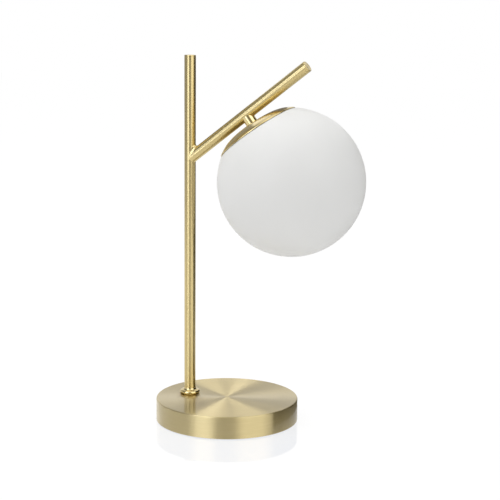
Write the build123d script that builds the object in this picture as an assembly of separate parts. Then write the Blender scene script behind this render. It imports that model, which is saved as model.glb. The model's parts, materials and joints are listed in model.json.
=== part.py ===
from build123d import *
import os
from math import acos, asin, cos, pi, radians, sin, sqrt

# Globe table lamp: a weighted disc base, an upright tube near its rim, and a slanted branch tube
# that carries an opal glass globe under a shallow brass cap.
# Millimetres, +Z up. The origin is the centre of the base's underside. The upright, the branch and
# the globe's axis lie in the XZ plane, with the upright on the -X side and the globe on the +X side.

# Base
BASE_DIAMETER = 150.0
BASE_HEIGHT = 24.0
BASE_EDGE_RADIUS = 1.2
COVER_WALL = 1.2
COVER_LIFT = 0.8
PAD_THICKNESS = 1.5
PAD_INSET = 0.8
PLATE_THICKNESS = 1.5
PLATE_CLEARANCE = 0.2
WEIGHT_CLEARANCE = 0.4
WEIGHT_EDGE_CHAMFER = 2.0

# Wiring pocket under the weight, and what it holds
POCKET_DEPTH = 12.0
POCKET_WIDTH = 30.0
CHANNEL_WIDTH = 18.0
BLOCK_LENGTH = 22.0
BLOCK_WIDTH = 13.0
BLOCK_HEIGHT = 9.0
BLOCK_EDGE_RADIUS = 0.8
BLOCK_OFFSET = 5.0
BLOCK_POLE_PITCH = 6.4
BLOCK_TUNNEL_DIAMETER = 3.2
BLOCK_SCREW_WELL_DIAMETER = 3.4
BLOCK_SCREW_WELL_DEPTH = 3.0

# Cord grommet in the rear wall
CORD_HOLE_DIAMETER = 6.4
GROMMET_WALL = 1.1
GROMMET_FLANGE = 1.3
GROMMET_FLANGE_THICKNESS = 2.0

# Plate screws
PLATE_SCREW_COUNT = 3
PLATE_SCREW_CIRCLE = 116.0
PLATE_SCREW_START_ANGLE = 30.0
PLATE_SCREW_DIAMETER = 4.0
PLATE_SCREW_HEAD = 7.4
PLATE_SCREW_REACH = 7.0

# Upright
TUBE_DIAMETER = 12.0
TUBE_WALL = 1.0
STEM_INSET = 32.2
STEM_HEIGHT = 384.0
CAP_FLANGE = 1.0
CAP_SPIGOT = 6.0
COLLAR_DIAMETER = 21.0
COLLAR_BEAD_RADIUS = 1.4
COLLAR_BEAD_HEIGHT = 1.2
COLLAR_COVE_HEIGHT = 4.0
COLLAR_LIP = 0.2
STEM_NIPPLE_WALL = 1.4
STEM_NIPPLE_ENGAGEMENT = 14.0
STEM_NIPPLE_STICK_OUT = 1.0
STEM_WASHER_DIAMETER = 20.0
STEM_WASHER_THICKNESS = 1.5
STEM_NUT_WALL = 2.2
STEM_NUT_THICKNESS = 4.5

# Branch
BRANCH_DROP = 107.5
ARM_RISE = 38.0
ARM_LENGTH = 162.0
NECK_REACH = 79.0

# Wires
WIRE_DIAMETER = 1.8
WIRE_SPREAD = 1.4
WIRE_ROOM = 0.4
WIRE_HOLE_ROOM = 1.2
WIRE_FOOT_BEND = 4.5
WIRE_BRANCH_BEND = 20.0
WIRE_NECK_BEND = 6.0
WIRE_FAN_BEND = 3.0
WIRE_INSERTION = 5.0

# Head: the cap, the globe and what clamps them to the branch
HEAD_TILT = 36.5
NECK_GAP = 5.7
NECK_WALL = 2.45
NECK_SADDLE_DROP = 2.0
HEAD_NIPPLE_WALL = 1.3
HEAD_NIPPLE_STICK_OUT = 1.5
CAP_DIAMETER = 91.0
CAP_RISE = 10.9
CAP_EDGE = 0.9
CAP_WALL = 1.0
CAP_CROWN_FLAT = 14.0
CAP_CROWN_RADIUS = 170.0
CAP_SHOULDER_START = 26.0
RIM_GAP = 0.5
SPACER_DIAMETER = 13.0
SPACER_LENGTH = 3.9
CLIP_PLATE_DIAMETER = 52.0
CLIP_PLATE_THICKNESS = 1.0
HEAD_WASHER_DIAMETER = 15.0
HEAD_WASHER_THICKNESS = 0.8
HEAD_NUT_WALL = 2.3
HEAD_NUT_THICKNESS = 4.0

# Globe
GLOBE_DIAMETER = 152.0
GLASS_WALL = 3.0
MOUTH_LEDGE = 0.4
MOUTH_EDGE_RADIUS = 0.8
GASKET_WIDTH = 1.4
GASKET_INSET = 1.2

# Leaf-spring clips inside the globe's mouth
CLIP_COUNT = 3
CLIP_WIDTH = 8.0
CLIP_THICKNESS = 0.5
CLIP_BEND_RADIUS = 1.2
CLIP_ROOT = 15.0
CLIP_SHOULDER_INSET = 2.1
CLIP_SHOULDER_RISE = 1.3
CLIP_HOOK = 1.6
CLIP_HOOK_DROP = 3.2
CLIP_TAIL_INSET = 2.2
CLIP_TAIL_DROP = 7.6
RIVET_DIAMETER = 3.0
RIVET_HEAD = 5.0
RIVET_HEAD_HEIGHT = 0.8
RIVET_INSET = 6.0

# Lamp holder and its bracket
HOLDER_WIDTH = 17.6
HOLDER_DEPTH = 15.0
HOLDER_LENGTH = 20.0
HOLDER_CORNER_RADIUS = 3.0
HOLDER_DROP = 16.0
HOLDER_WIRE_HOLE = 2.6
BRACKET_WIDTH = 12.0
BRACKET_THICKNESS = 1.2
BRACKET_BEND_RADIUS = 2.0
BRACKET_OVERLAP = 10.0
HOLDER_SCREW_DIAMETER = 3.0
HOLDER_SCREW_HEAD = 5.6
HOLDER_SCREW_HEAD_HEIGHT = 1.6
HOLDER_SCREW_REACH = 4.0

# Capsule bulb
PIN_SPACING = 9.0
PIN_LENGTH = 8.0
PIN_LOOP_WIDTH = 2.0
PIN_WIRE = 0.8
PIN_SLOT_ROOM = 0.5
BULB_SEAT_GAP = 0.3
BULB_DIAMETER = 16.0
BULB_SHANK_DIAMETER = 13.0
BULB_SHANK_LENGTH = 4.0
BULB_SKIRT_LENGTH = 6.5
ENVELOPE_LENGTH = 42.0
ENVELOPE_WALL = 1.0
LIGHT_COLUMN_WIDTH = 6.0
LIGHT_COLUMN_END_GAP = 6.0

# Fits
FIT_GAP = 0.05
HOLE_GAP = 0.2
LOOSE_GAP = 0.3

# Levels in the base, above the table
plate_bottom = PAD_THICKNESS
plate_top = plate_bottom + PLATE_THICKNESS
pocket_roof = plate_top + POCKET_DEPTH
cover_ceiling = BASE_HEIGHT - COVER_WALL
cover_radius = BASE_DIAMETER / 2
cover_bore = cover_radius - COVER_WALL
grommet_level = plate_top + POCKET_DEPTH / 2
block_tunnel_height = BLOCK_TUNNEL_DIAMETER / 2 + BLOCK_EDGE_RADIUS

# Upright and branch
stem_offset = BASE_DIAMETER / 2 - STEM_INSET
tube_radius = TUBE_DIAMETER / 2
tube_bore = tube_radius - TUBE_WALL
stem_nipple_radius = tube_bore - FIT_GAP
stem_nipple_bore = stem_nipple_radius - STEM_NIPPLE_WALL
stem_nut_bottom = pocket_roof - STEM_WASHER_THICKNESS - STEM_NUT_THICKNESS
stem_nipple_bottom = stem_nut_bottom - STEM_NIPPLE_STICK_OUT
wire_radius = WIRE_DIAMETER / 2
wire_bundle = WIRE_SPREAD + wire_radius
rise = radians(ARM_RISE)
tilt = radians(HEAD_TILT)
branch_height = STEM_HEIGHT - BRANCH_DROP
branch_point = Vector(-stem_offset, 0, branch_height)
arm_direction = Vector(cos(rise), 0, sin(rise))
head_direction = Vector(-sin(tilt), 0, cos(tilt))
neck_point = branch_point + arm_direction * NECK_REACH

# Head levels, measured up the head's axis from the globe's centre
globe_radius = GLOBE_DIAMETER / 2
glass_bore = globe_radius - GLASS_WALL
cap_radius = CAP_DIAMETER / 2
mouth_outer = cap_radius + MOUTH_LEDGE
mouth_level = sqrt(globe_radius**2 - mouth_outer**2)
mouth_inner = sqrt(glass_bore**2 - mouth_level**2)
rim_level = mouth_level + RIM_GAP
crown_level = rim_level + CAP_RISE
arm_level = crown_level + NECK_GAP + tube_radius / cos(tilt - rise)
crown_radius = CAP_CROWN_FLAT / 2
crown_centre = crown_level - sqrt(CAP_CROWN_RADIUS**2 - crown_radius**2)
shoulder_slope = asin(CAP_SHOULDER_START / CAP_CROWN_RADIUS)
edge_rise = rim_level + CAP_EDGE - crown_centre
edge_reach = cap_radius * sin(shoulder_slope) + edge_rise * cos(shoulder_slope)
edge_spread = cap_radius**2 + edge_rise**2 + CAP_CROWN_RADIUS**2 - 2 * CAP_CROWN_RADIUS * edge_reach
shoulder_radius = edge_spread / (2 * (CAP_CROWN_RADIUS - edge_reach))
shoulder_offset = (CAP_CROWN_RADIUS - shoulder_radius) * sin(shoulder_slope)
shoulder_level = crown_centre + (CAP_CROWN_RADIUS - shoulder_radius) * cos(shoulder_slope)
head_nipple_bore = wire_bundle + WIRE_ROOM
head_nipple_radius = head_nipple_bore + HEAD_NIPPLE_WALL
head_nipple_top = arm_level - tube_bore + WIRE_ROOM
neck_bore = head_nipple_radius + FIT_GAP
neck_radius = neck_bore + NECK_WALL
clip_plate_top = crown_level - CAP_WALL - SPACER_LENGTH
clip_plate_bottom = clip_plate_top - CLIP_PLATE_THICKNESS
bracket_bottom = clip_plate_bottom - BRACKET_THICKNESS
head_washer_bottom = bracket_bottom - HEAD_WASHER_THICKNESS
head_nut_bottom = head_washer_bottom - HEAD_NUT_THICKNESS
head_nipple_bottom = head_nut_bottom - HEAD_NIPPLE_STICK_OUT
holder_top = clip_plate_bottom - HOLDER_DROP
holder_bottom = holder_top - HOLDER_LENGTH
bracket_foot = holder_top - BRACKET_OVERLAP
holder_screw_level = holder_top - BRACKET_OVERLAP / 2
bracket_reach = HOLDER_WIDTH / 2 + FIT_GAP + BRACKET_THICKNESS / 2
bulb_top = holder_bottom - BULB_SEAT_GAP
envelope_top = bulb_top - BULB_SHANK_LENGTH - BULB_SKIRT_LENGTH
envelope_radius = BULB_DIAMETER / 2
rivet_circle = CLIP_PLATE_DIAMETER / 2 - RIVET_INSET
globe_centre = neck_point - head_direction * arm_level

# Frames of the sub-assemblies: Z runs up the upright, along the branch, and up the head's axis
STEM = Pos(-stem_offset, 0, 0)
ARM = Pos(*branch_point) * Rot(0, 90 - ARM_RISE, 0)
HEAD = Pos(*globe_centre) * Rot(0, -HEAD_TILT, 0)
REARWARD = Rot(-90, 0, 0)
UPWARD = (Align.CENTER, Align.CENTER, Align.MIN)


def rod(radius, low, high):
    """A round bar about Z between two levels."""
    return Pos(0, 0, low) * Cylinder(radius, high - low, align=UPWARD)


def ring(radius, bore, low, high):
    """A plain ring or tube about Z between two levels."""
    return rod(radius, low, high) - rod(bore, low, high)


def turned(outline):
    """A turned piece: the outline has radius along X and level along Y."""
    return Rot(90, 0, 0) * revolve(outline, Axis.Y)


def hex_nut(bore, wall, low, high):
    """A hexagon nut about Z, its wall measured at the flats."""
    body = extrude(RegularPolygon(bore + wall, 6, major_radius=False), high - low)
    return Pos(0, 0, low) * body - rod(bore, low, high)


def around(piece, count, start=0.0):
    """Copies of a piece, evenly spaced about Z."""
    step = 360 / count
    return [Rot(0, 0, start + step * index) * piece for index in range(count)]


def strip(path, width, thickness):
    """A flat strip bent along a path in the XZ plane, its width along Y."""
    section = Plane(origin=path @ 0, x_dir=(0, 1, 0), z_dir=path % 0) * Rectangle(width, thickness)
    return sweep(section, path)


def tube_plug():
    """A flat end plug with a spigot inside the tube, its outer face at level 0."""
    flange = rod(tube_radius, -CAP_FLANGE, 0)
    return flange + rod(tube_bore - FIT_GAP, -CAP_FLANGE - CAP_SPIGOT, -CAP_FLANGE)


# Base pieces
def base_cover():
    """Pressed drum, open below, with the stem's hole in its top and the cord's hole at the rear."""
    drum = rod(cover_radius, COVER_LIFT, BASE_HEIGHT)
    drum = fillet(drum.edges().group_by(Axis.Z)[-1], BASE_EDGE_RADIUS)
    drum -= rod(cover_bore, COVER_LIFT, cover_ceiling)
    drum -= STEM * rod(stem_nipple_radius + HOLE_GAP, cover_ceiling, BASE_HEIGHT)
    cord_hole = REARWARD * rod(CORD_HOLE_DIAMETER / 2 + GROMMET_WALL + FIT_GAP, 0, BASE_DIAMETER)
    return drum - Pos(0, 0, grommet_level) * cord_hole


def wiring_pocket():
    """Space under the weight: a slot from the stem to the terminal block, and the cord's channel."""
    slot_length = stem_offset + BLOCK_OFFSET
    slot = extrude(SlotCenterToCenter(slot_length, POCKET_WIDTH), POCKET_DEPTH)
    channel = Box(CHANNEL_WIDTH, cover_radius, POCKET_DEPTH, align=(Align.CENTER, Align.MIN, Align.MIN))
    return Pos(slot_length / 2 - stem_offset, 0, plate_top) * slot + Pos(0, 0, plate_top) * channel


def base_weight():
    """Cast-iron disc that fills the drum above the plate."""
    disc = rod(cover_bore - WEIGHT_CLEARANCE, plate_top, cover_ceiling - FIT_GAP)
    disc = chamfer(disc.edges().group_by(Axis.Z)[-1], WEIGHT_EDGE_CHAMFER)
    disc -= wiring_pocket()
    disc -= STEM * rod(stem_nipple_radius + LOOSE_GAP, plate_top, BASE_HEIGHT)
    tapped = Pos(PLATE_SCREW_CIRCLE / 2, 0, 0) * rod(
        PLATE_SCREW_DIAMETER / 2 + FIT_GAP, plate_top, plate_top + PLATE_SCREW_REACH + LOOSE_GAP
    )
    return disc - around(tapped, PLATE_SCREW_COUNT, PLATE_SCREW_START_ANGLE)


def plate_screw(gap):
    """One countersunk screw under the plate, grown by a gap when it is used to cut its hole."""
    head = PLATE_SCREW_HEAD / 2 + gap
    shank = PLATE_SCREW_DIAMETER / 2 + gap
    sink = Pos(0, 0, plate_bottom) * Cone(head, shank, PLATE_THICKNESS, align=UPWARD)
    screw = sink + rod(shank, plate_top, plate_top + PLATE_SCREW_REACH)
    return Pos(PLATE_SCREW_CIRCLE / 2, 0, 0) * screw


def plate_screws():
    """Screws that hold the plate to the weight."""
    return around(plate_screw(0), PLATE_SCREW_COUNT, PLATE_SCREW_START_ANGLE)


def base_plate():
    """Steel disc that closes the drum."""
    disc = rod(cover_bore - PLATE_CLEARANCE, plate_bottom, plate_top)
    return disc - around(plate_screw(FIT_GAP), PLATE_SCREW_COUNT, PLATE_SCREW_START_ANGLE)


def base_pad():
    """Foam disc that the lamp stands on."""
    return rod(cover_bore - PAD_INSET, 0, plate_bottom)


def cord_grommet():
    """Rubber ring in the drum's rear wall, with a flange on each side of the wall."""
    hole = CORD_HOLE_DIAMETER / 2
    seat = hole + GROMMET_WALL
    flange = seat + GROMMET_FLANGE
    inner_face = sqrt(cover_bore**2 - flange**2) - FIT_GAP
    outer_face = cover_radius + FIT_GAP
    body = rod(seat, inner_face, outer_face)
    body += rod(flange, inner_face - GROMMET_FLANGE_THICKNESS, inner_face)
    lip = rod(flange, outer_face, outer_face + GROMMET_FLANGE_THICKNESS)
    body += fillet(lip.edges().group_by(Axis.Z)[-1], GROMMET_FLANGE_THICKNESS / 2)
    body -= rod(hole, 0, BASE_DIAMETER)
    return Pos(0, 0, grommet_level) * REARWARD * body


def terminal_block():
    """Two-pole block on the plate, with a wire tunnel and two screw wells for each pole."""
    block = Box(BLOCK_LENGTH, BLOCK_WIDTH, BLOCK_HEIGHT, align=UPWARD)
    block = fillet(block.edges().filter_by(Axis.Z), BLOCK_EDGE_RADIUS)
    well = rod(BLOCK_SCREW_WELL_DIAMETER / 2, BLOCK_HEIGHT - BLOCK_SCREW_WELL_DEPTH, BLOCK_HEIGHT)
    tunnel = Rot(0, 90, 0) * Cylinder(BLOCK_TUNNEL_DIAMETER / 2, BLOCK_LENGTH)
    for pole in (-1, 1):
        side = pole * BLOCK_POLE_PITCH / 2
        block -= Pos(0, side, block_tunnel_height) * tunnel
        for end in (-1, 1):
            block -= Pos(end * BLOCK_LENGTH / 4, side, 0) * well
    return Pos(BLOCK_OFFSET, 0, plate_top) * block


# Upright pieces
def stem_tube():
    """Upright tube with the wires' hole where the branch meets it."""
    tube = STEM * ring(tube_radius, tube_bore, BASE_HEIGHT, STEM_HEIGHT - CAP_FLANGE)
    return tube - ARM * rod(wire_bundle + WIRE_HOLE_ROOM, 0, TUBE_DIAMETER)


def stem_cap():
    """Flat plug in the upright's top end."""
    return STEM * Pos(0, 0, STEM_HEIGHT) * tube_plug()


def stem_collar():
    """Polished bead ring around the upright's foot, with a cove that rises to the tube."""
    bore = tube_radius + FIT_GAP
    bead_centre = COLLAR_DIAMETER / 2 - COLLAR_BEAD_RADIUS
    foot = bead_centre + sqrt(COLLAR_BEAD_RADIUS**2 - COLLAR_BEAD_HEIGHT**2)
    bead_top = COLLAR_BEAD_HEIGHT + COLLAR_BEAD_RADIUS
    top = bead_top + COLLAR_COVE_HEIGHT
    lip = bore + COLLAR_LIP
    cove = EllipticalCenterArc(
        (bead_centre, top), bead_centre - lip, COLLAR_COVE_HEIGHT, start_angle=180, arc_size=90
    )
    outline = Curve() + [
        Line((bore, 0), (foot, 0)),
        ThreePointArc((foot, 0), (COLLAR_DIAMETER / 2, COLLAR_BEAD_HEIGHT), (bead_centre, bead_top)),
        cove,
        Line((lip, top), (bore, top)),
        Line((bore, top), (bore, 0)),
    ]
    return STEM * Pos(0, 0, BASE_HEIGHT) * turned(make_face(outline))


def stem_nipple():
    """Threaded tube brazed into the upright's foot and clamped under the weight."""
    top = BASE_HEIGHT + STEM_NIPPLE_ENGAGEMENT
    return STEM * ring(stem_nipple_radius, stem_nipple_bore, stem_nipple_bottom, top)


def stem_washer():
    """Washer under the weight's roof."""
    bottom = pocket_roof - STEM_WASHER_THICKNESS
    return STEM * ring(STEM_WASHER_DIAMETER / 2, stem_nipple_radius + HOLE_GAP, bottom, pocket_roof)


def stem_nut():
    """Nut that pulls the upright down onto the base."""
    top = stem_nut_bottom + STEM_NUT_THICKNESS
    return STEM * hex_nut(stem_nipple_radius + FIT_GAP, STEM_NUT_WALL, stem_nut_bottom, top)


# Branch pieces
def arm_tube():
    """Branch tube, its lower end coped to the upright, with a hole for the head's nipple below."""
    tube = ARM * ring(tube_radius, tube_bore, 0, ARM_LENGTH - CAP_FLANGE)
    tube -= STEM * rod(tube_radius + FIT_GAP, BASE_HEIGHT, STEM_HEIGHT)
    return tube - HEAD * rod(neck_bore, crown_level, arm_level)


def arm_cap():
    """Flat plug in the branch's end."""
    return ARM * Pos(0, 0, ARM_LENGTH) * tube_plug()


# Head pieces, each made about the head's axis
def neck():
    """Polished bush between the branch and the cap, its top cut to a saddle for the branch."""
    bush = HEAD * ring(neck_radius, neck_bore, crown_level, arm_level - NECK_SADDLE_DROP)
    return bush - ARM * rod(tube_radius + FIT_GAP, 0, ARM_LENGTH)


def head_nipple():
    """Threaded tube from the branch down through the cap, the plate and the bracket."""
    return HEAD * ring(head_nipple_radius, head_nipple_bore, head_nipple_bottom, head_nipple_top)


def arc_through(offset, level, radius, start, finish):
    """A turned outline's arc about a centre, between two slopes counted from the top."""
    slopes = (start, (start + finish) / 2, finish)
    return ThreePointArc(*[(offset + radius * sin(slope), level + radius * cos(slope)) for slope in slopes])


def dome_face(inset, reach):
    """Crown arc and shoulder arc of the dome, an inset inside its outer face, out to a reach."""
    crown = CAP_CROWN_RADIUS - inset
    shoulder = shoulder_radius - inset
    flat_edge = acos((crown_level - inset - crown_centre) / crown)
    finish = asin((reach - shoulder_offset) / shoulder)
    return [
        arc_through(0, crown_centre, crown, flat_edge, shoulder_slope),
        arc_through(shoulder_offset, shoulder_level, shoulder, shoulder_slope, finish),
    ]


def globe_cap():
    """Spun dome over the globe's mouth, with a small flat at its crown and a trimmed rim."""
    hole = head_nipple_radius + HOLE_GAP
    inner_crown = crown_level - CAP_WALL
    rim_bore = cap_radius - CAP_WALL
    outer = dome_face(0, cap_radius)
    inner = dome_face(CAP_WALL, rim_bore)
    outline = Curve() + [
        Line((hole, crown_level), outer[0] @ 0),
        *outer,
        Line(outer[1] @ 1, (cap_radius, rim_level)),
        Line((cap_radius, rim_level), (rim_bore, rim_level)),
        Line((rim_bore, rim_level), inner[1] @ 1),
        *inner,
        Line(inner[0] @ 0, (hole, inner_crown)),
        Line((hole, inner_crown), (hole, crown_level)),
    ]
    return HEAD * turned(make_face(outline))


def globe_gasket():
    """Soft ring between the globe's ground mouth and the underside of the dome."""
    outer = cap_radius - CAP_WALL - GASKET_INSET
    inner = outer - GASKET_WIDTH
    seat = shoulder_radius - CAP_WALL - FIT_GAP
    slopes = [asin((reach - shoulder_offset) / seat) for reach in (inner, outer)]
    roof = arc_through(shoulder_offset, shoulder_level, seat, *slopes)
    outline = Curve() + [
        Line((inner, mouth_level), (outer, mouth_level)),
        Line((outer, mouth_level), roof @ 1),
        roof,
        Line(roof @ 0, (inner, mouth_level)),
    ]
    return HEAD * turned(make_face(outline))


def globe():
    """Opal glass ball with a ground mouth under the cap."""
    outline = Curve() + [
        ThreePointArc((0, -globe_radius), (globe_radius, 0), (mouth_outer, mouth_level)),
        Line((mouth_outer, mouth_level), (mouth_inner, mouth_level)),
        ThreePointArc((mouth_inner, mouth_level), (glass_bore, 0), (0, -glass_bore)),
        Line((0, -glass_bore), (0, -globe_radius)),
    ]
    wall = make_face(outline)
    outer_lip = wall.vertices().group_by(Axis.Y)[-1].sort_by(Axis.X)[-1]
    return HEAD * turned(fillet(outer_lip, MOUTH_EDGE_RADIUS))


def cap_spacer():
    """Tube that holds the clip plate clear of the dome."""
    bore = head_nipple_radius + HOLE_GAP
    return HEAD * ring(SPACER_DIAMETER / 2, bore, clip_plate_top, crown_level - CAP_WALL)


def clip_plate():
    """Steel disc that carries the three clips."""
    disc = ring(CLIP_PLATE_DIAMETER / 2, head_nipple_radius + HOLE_GAP, clip_plate_bottom, clip_plate_top)
    hole = Pos(rivet_circle, 0, 0) * rod(RIVET_DIAMETER / 2 + FIT_GAP, clip_plate_bottom, clip_plate_top)
    return HEAD * (disc - around(hole, CLIP_COUNT))


def globe_clips():
    """Leaf springs that spread behind the edge of the globe's mouth."""
    leaf_level = clip_plate_bottom - CLIP_THICKNESS / 2
    path = FilletPolyline(
        (CLIP_ROOT, 0, leaf_level),
        (CLIP_PLATE_DIAMETER / 2, 0, leaf_level),
        (mouth_inner - CLIP_SHOULDER_INSET, 0, mouth_level + CLIP_SHOULDER_RISE),
        (mouth_inner + CLIP_HOOK, 0, mouth_level - CLIP_HOOK_DROP),
        (mouth_inner - CLIP_TAIL_INSET, 0, mouth_level - CLIP_TAIL_DROP),
        radius=CLIP_BEND_RADIUS,
    )
    leaf = strip(path, CLIP_WIDTH, CLIP_THICKNESS)
    bottom = clip_plate_bottom - CLIP_THICKNESS
    leaf -= Pos(rivet_circle, 0, 0) * rod(RIVET_DIAMETER / 2 + FIT_GAP, bottom, clip_plate_bottom)
    return [HEAD * clip for clip in around(leaf, CLIP_COUNT)]


def clip_rivets():
    """Rivets that hold the clips under the plate."""
    leaf_bottom = clip_plate_bottom - CLIP_THICKNESS
    rivet = rod(RIVET_DIAMETER / 2, leaf_bottom, clip_plate_top)
    rivet += rod(RIVET_HEAD / 2, clip_plate_top, clip_plate_top + RIVET_HEAD_HEIGHT)
    rivet += rod(RIVET_HEAD / 2, leaf_bottom - RIVET_HEAD_HEIGHT, leaf_bottom)
    return [HEAD * one for one in around(Pos(rivet_circle, 0, 0) * rivet, CLIP_COUNT)]


def holder_bracket():
    """Strap over the lamp holder, clamped under the clip plate."""
    web = clip_plate_bottom - BRACKET_THICKNESS / 2
    path = FilletPolyline(
        (-bracket_reach, 0, bracket_foot),
        (-bracket_reach, 0, web),
        (bracket_reach, 0, web),
        (bracket_reach, 0, bracket_foot),
        radius=BRACKET_BEND_RADIUS,
    )
    strap = strip(path, BRACKET_WIDTH, BRACKET_THICKNESS)
    strap -= rod(head_nipple_radius + HOLE_GAP, bracket_bottom, clip_plate_bottom)
    screw_hole = Rot(0, 90, 0) * Cylinder(HOLDER_SCREW_DIAMETER / 2 + FIT_GAP, 4 * bracket_reach)
    return HEAD * (strap - Pos(0, 0, holder_screw_level) * screw_hole)


def head_washer():
    """Washer under the bracket."""
    bore = head_nipple_radius + HOLE_GAP
    return HEAD * ring(HEAD_WASHER_DIAMETER / 2, bore, head_washer_bottom, bracket_bottom)


def head_nut():
    """Nut that clamps the cap, the clip plate and the bracket to the branch."""
    bore = head_nipple_radius + FIT_GAP
    return HEAD * hex_nut(bore, HEAD_NUT_WALL, head_nut_bottom, head_washer_bottom)


def lamp_holder():
    """Ceramic block with two pin slots below and two wire holes above."""
    block = Pos(0, 0, holder_bottom) * Box(HOLDER_WIDTH, HOLDER_DEPTH, HOLDER_LENGTH, align=UPWARD)
    block = fillet(block.edges().filter_by(Axis.Z), HOLDER_CORNER_RADIUS)
    slot = Box(
        PIN_LOOP_WIDTH + PIN_WIRE + 2 * PIN_SLOT_ROOM,
        PIN_WIRE + 2 * PIN_SLOT_ROOM,
        PIN_LENGTH + PIN_SLOT_ROOM,
        align=UPWARD,
    )
    wire_hole = rod(HOLDER_WIRE_HOLE / 2, holder_top - WIRE_INSERTION - WIRE_ROOM, holder_top)
    for side in (-PIN_SPACING / 2, PIN_SPACING / 2):
        block -= Pos(0, side, holder_bottom) * slot
        block -= Pos(0, side, 0) * wire_hole
    thread = rod(HOLDER_SCREW_DIAMETER / 2 + FIT_GAP, HOLDER_WIDTH / 2 - HOLDER_SCREW_REACH, HOLDER_WIDTH)
    for screw_hole in around(Rot(0, 90, 0) * thread, 2):
        block -= Pos(0, 0, holder_screw_level) * screw_hole
    return HEAD * block


def holder_screws():
    """Screws through the bracket's legs into the holder."""
    outer_face = bracket_reach + BRACKET_THICKNESS / 2
    screw = rod(HOLDER_SCREW_DIAMETER / 2, HOLDER_WIDTH / 2 - HOLDER_SCREW_REACH, outer_face)
    screw += rod(HOLDER_SCREW_HEAD / 2, outer_face, outer_face + HOLDER_SCREW_HEAD_HEIGHT)
    pair = around(Rot(0, 90, 0) * screw, 2)
    return [HEAD * Pos(0, 0, holder_screw_level) * one for one in pair]


# Bulb pieces
def bulb_base():
    """Moulded base of the capsule bulb, a shank with a skirt below."""
    skirt_top = bulb_top - BULB_SHANK_LENGTH
    shank = rod(BULB_SHANK_DIAMETER / 2, skirt_top, bulb_top)
    return HEAD * (shank + rod(envelope_radius, envelope_top, skirt_top))


def bulb_pins():
    """Two wire loops that plug into the holder."""
    half = PIN_LOOP_WIDTH / 2
    top = bulb_top + PIN_LENGTH - PIN_WIRE / 2
    path = FilletPolyline(
        (-half, 0, bulb_top), (-half, 0, top), (half, 0, top), (half, 0, bulb_top), radius=PIN_WIRE
    )
    loop = sweep(Plane(origin=path @ 0, z_dir=path % 0) * Circle(PIN_WIRE / 2), path)
    return [HEAD * Pos(0, side, 0) * loop for side in (-PIN_SPACING / 2, PIN_SPACING / 2)]


def bulb_envelope():
    """Clear tube with a round end under the bulb's base."""
    def shell(radius, end):
        """A round-ended bar from the bulb's base down to its end."""
        return rod(radius, end + radius, envelope_top) + Pos(0, 0, end + radius) * Sphere(radius)

    bottom = envelope_top - ENVELOPE_LENGTH
    hollow = shell(envelope_radius - ENVELOPE_WALL, bottom + ENVELOPE_WALL)
    return HEAD * (shell(envelope_radius, bottom) - hollow)


def light_column():
    """Square post that carries the light chips inside the envelope."""
    length = ENVELOPE_LENGTH - LIGHT_COLUMN_END_GAP
    post = Box(LIGHT_COLUMN_WIDTH, LIGHT_COLUMN_WIDTH, length, align=UPWARD)
    return HEAD * Pos(0, 0, envelope_top - length) * post


# Wires
def wire(side):
    """One wire from the terminal block, up the upright, along the branch and down to the holder.

    Its route is straight runs joined by tangent arcs, and its cut length is printed beside its
    volume as a length of plain wire."""
    def on_head(offset, level):
        """A point beside the head's axis, on the wire's side."""
        return globe_centre + head_direction * level + Vector(0, side * offset, 0)

    near = Vector(0, side * WIRE_SPREAD, 0)
    floor = plate_top + wire_radius + WIRE_ROOM
    block_end = BLOCK_OFFSET - BLOCK_LENGTH / 2
    block_side = side * BLOCK_POLE_PITCH / 2
    tunnel = plate_top + block_tunnel_height
    fan_room = head_nipple_bottom - holder_top
    route = [
        Vector(block_end + WIRE_INSERTION, block_side, tunnel),
        Vector(block_end - WIRE_INSERTION, block_side, tunnel),
        Vector(2 * WIRE_INSERTION - stem_offset, side * WIRE_SPREAD, floor),
        Vector(-stem_offset, side * WIRE_SPREAD, floor),
        branch_point + near,
        neck_point + near,
        on_head(WIRE_SPREAD, holder_top + fan_room * 0.9),
        on_head(PIN_SPACING / 2, holder_top + fan_room * 0.2),
        on_head(PIN_SPACING / 2, holder_top - WIRE_INSERTION),
    ]
    bends = [
        WIRE_FAN_BEND,
        WIRE_FAN_BEND,
        WIRE_FOOT_BEND,
        WIRE_BRANCH_BEND,
        WIRE_NECK_BEND,
        WIRE_FAN_BEND,
        WIRE_FAN_BEND,
    ]
    path = FilletPolyline(*route, radius=bends)
    lead = sweep(Plane(origin=path @ 0, z_dir=path % 0) * Circle(wire_radius), path)
    print("wire length", round(path.length, 2), "by volume", round(lead.volume / (pi * wire_radius**2), 2))
    return lead


def live_wire():
    """Brown wire on the +Y side."""
    return wire(1)


def neutral_wire():
    """Blue wire on the -Y side."""
    return wire(-1)


PIECES = [
    base_pad, base_plate, plate_screws, base_weight, base_cover, cord_grommet, terminal_block,
    stem_tube, stem_cap, stem_collar, stem_nipple, stem_washer, stem_nut,
    arm_tube, arm_cap,
    neck, head_nipple, globe_cap, cap_spacer, clip_plate, globe_clips, clip_rivets, globe_gasket,
    holder_bracket, head_washer, head_nut, lamp_holder, holder_screws,
    globe,
    bulb_base, bulb_pins, bulb_envelope, light_column,
    live_wire, neutral_wire,
]

os.makedirs("parts", exist_ok=True)
for piece in PIECES:
    shape = piece()
    if isinstance(shape, list):
        shape = Compound(shape)
    export_step(shape, f"parts/{piece.__name__}.step")
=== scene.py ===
"""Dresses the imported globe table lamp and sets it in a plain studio.

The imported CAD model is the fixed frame. The visible brass, the glass and the soft pieces are
built again as finer meshes in the places of their CAD nodes, with a fillet of brazing metal at the
branch's joint. Every other node keeps its CAD mesh. All of them get node materials. Lengths are in
metres and angles in degrees.
"""

import json
import logging
import math
from dataclasses import dataclass, field
from enum import Enum
from typing import Callable, ClassVar, Sequence

import bmesh
import bpy
from mathutils import Matrix, Vector


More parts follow.
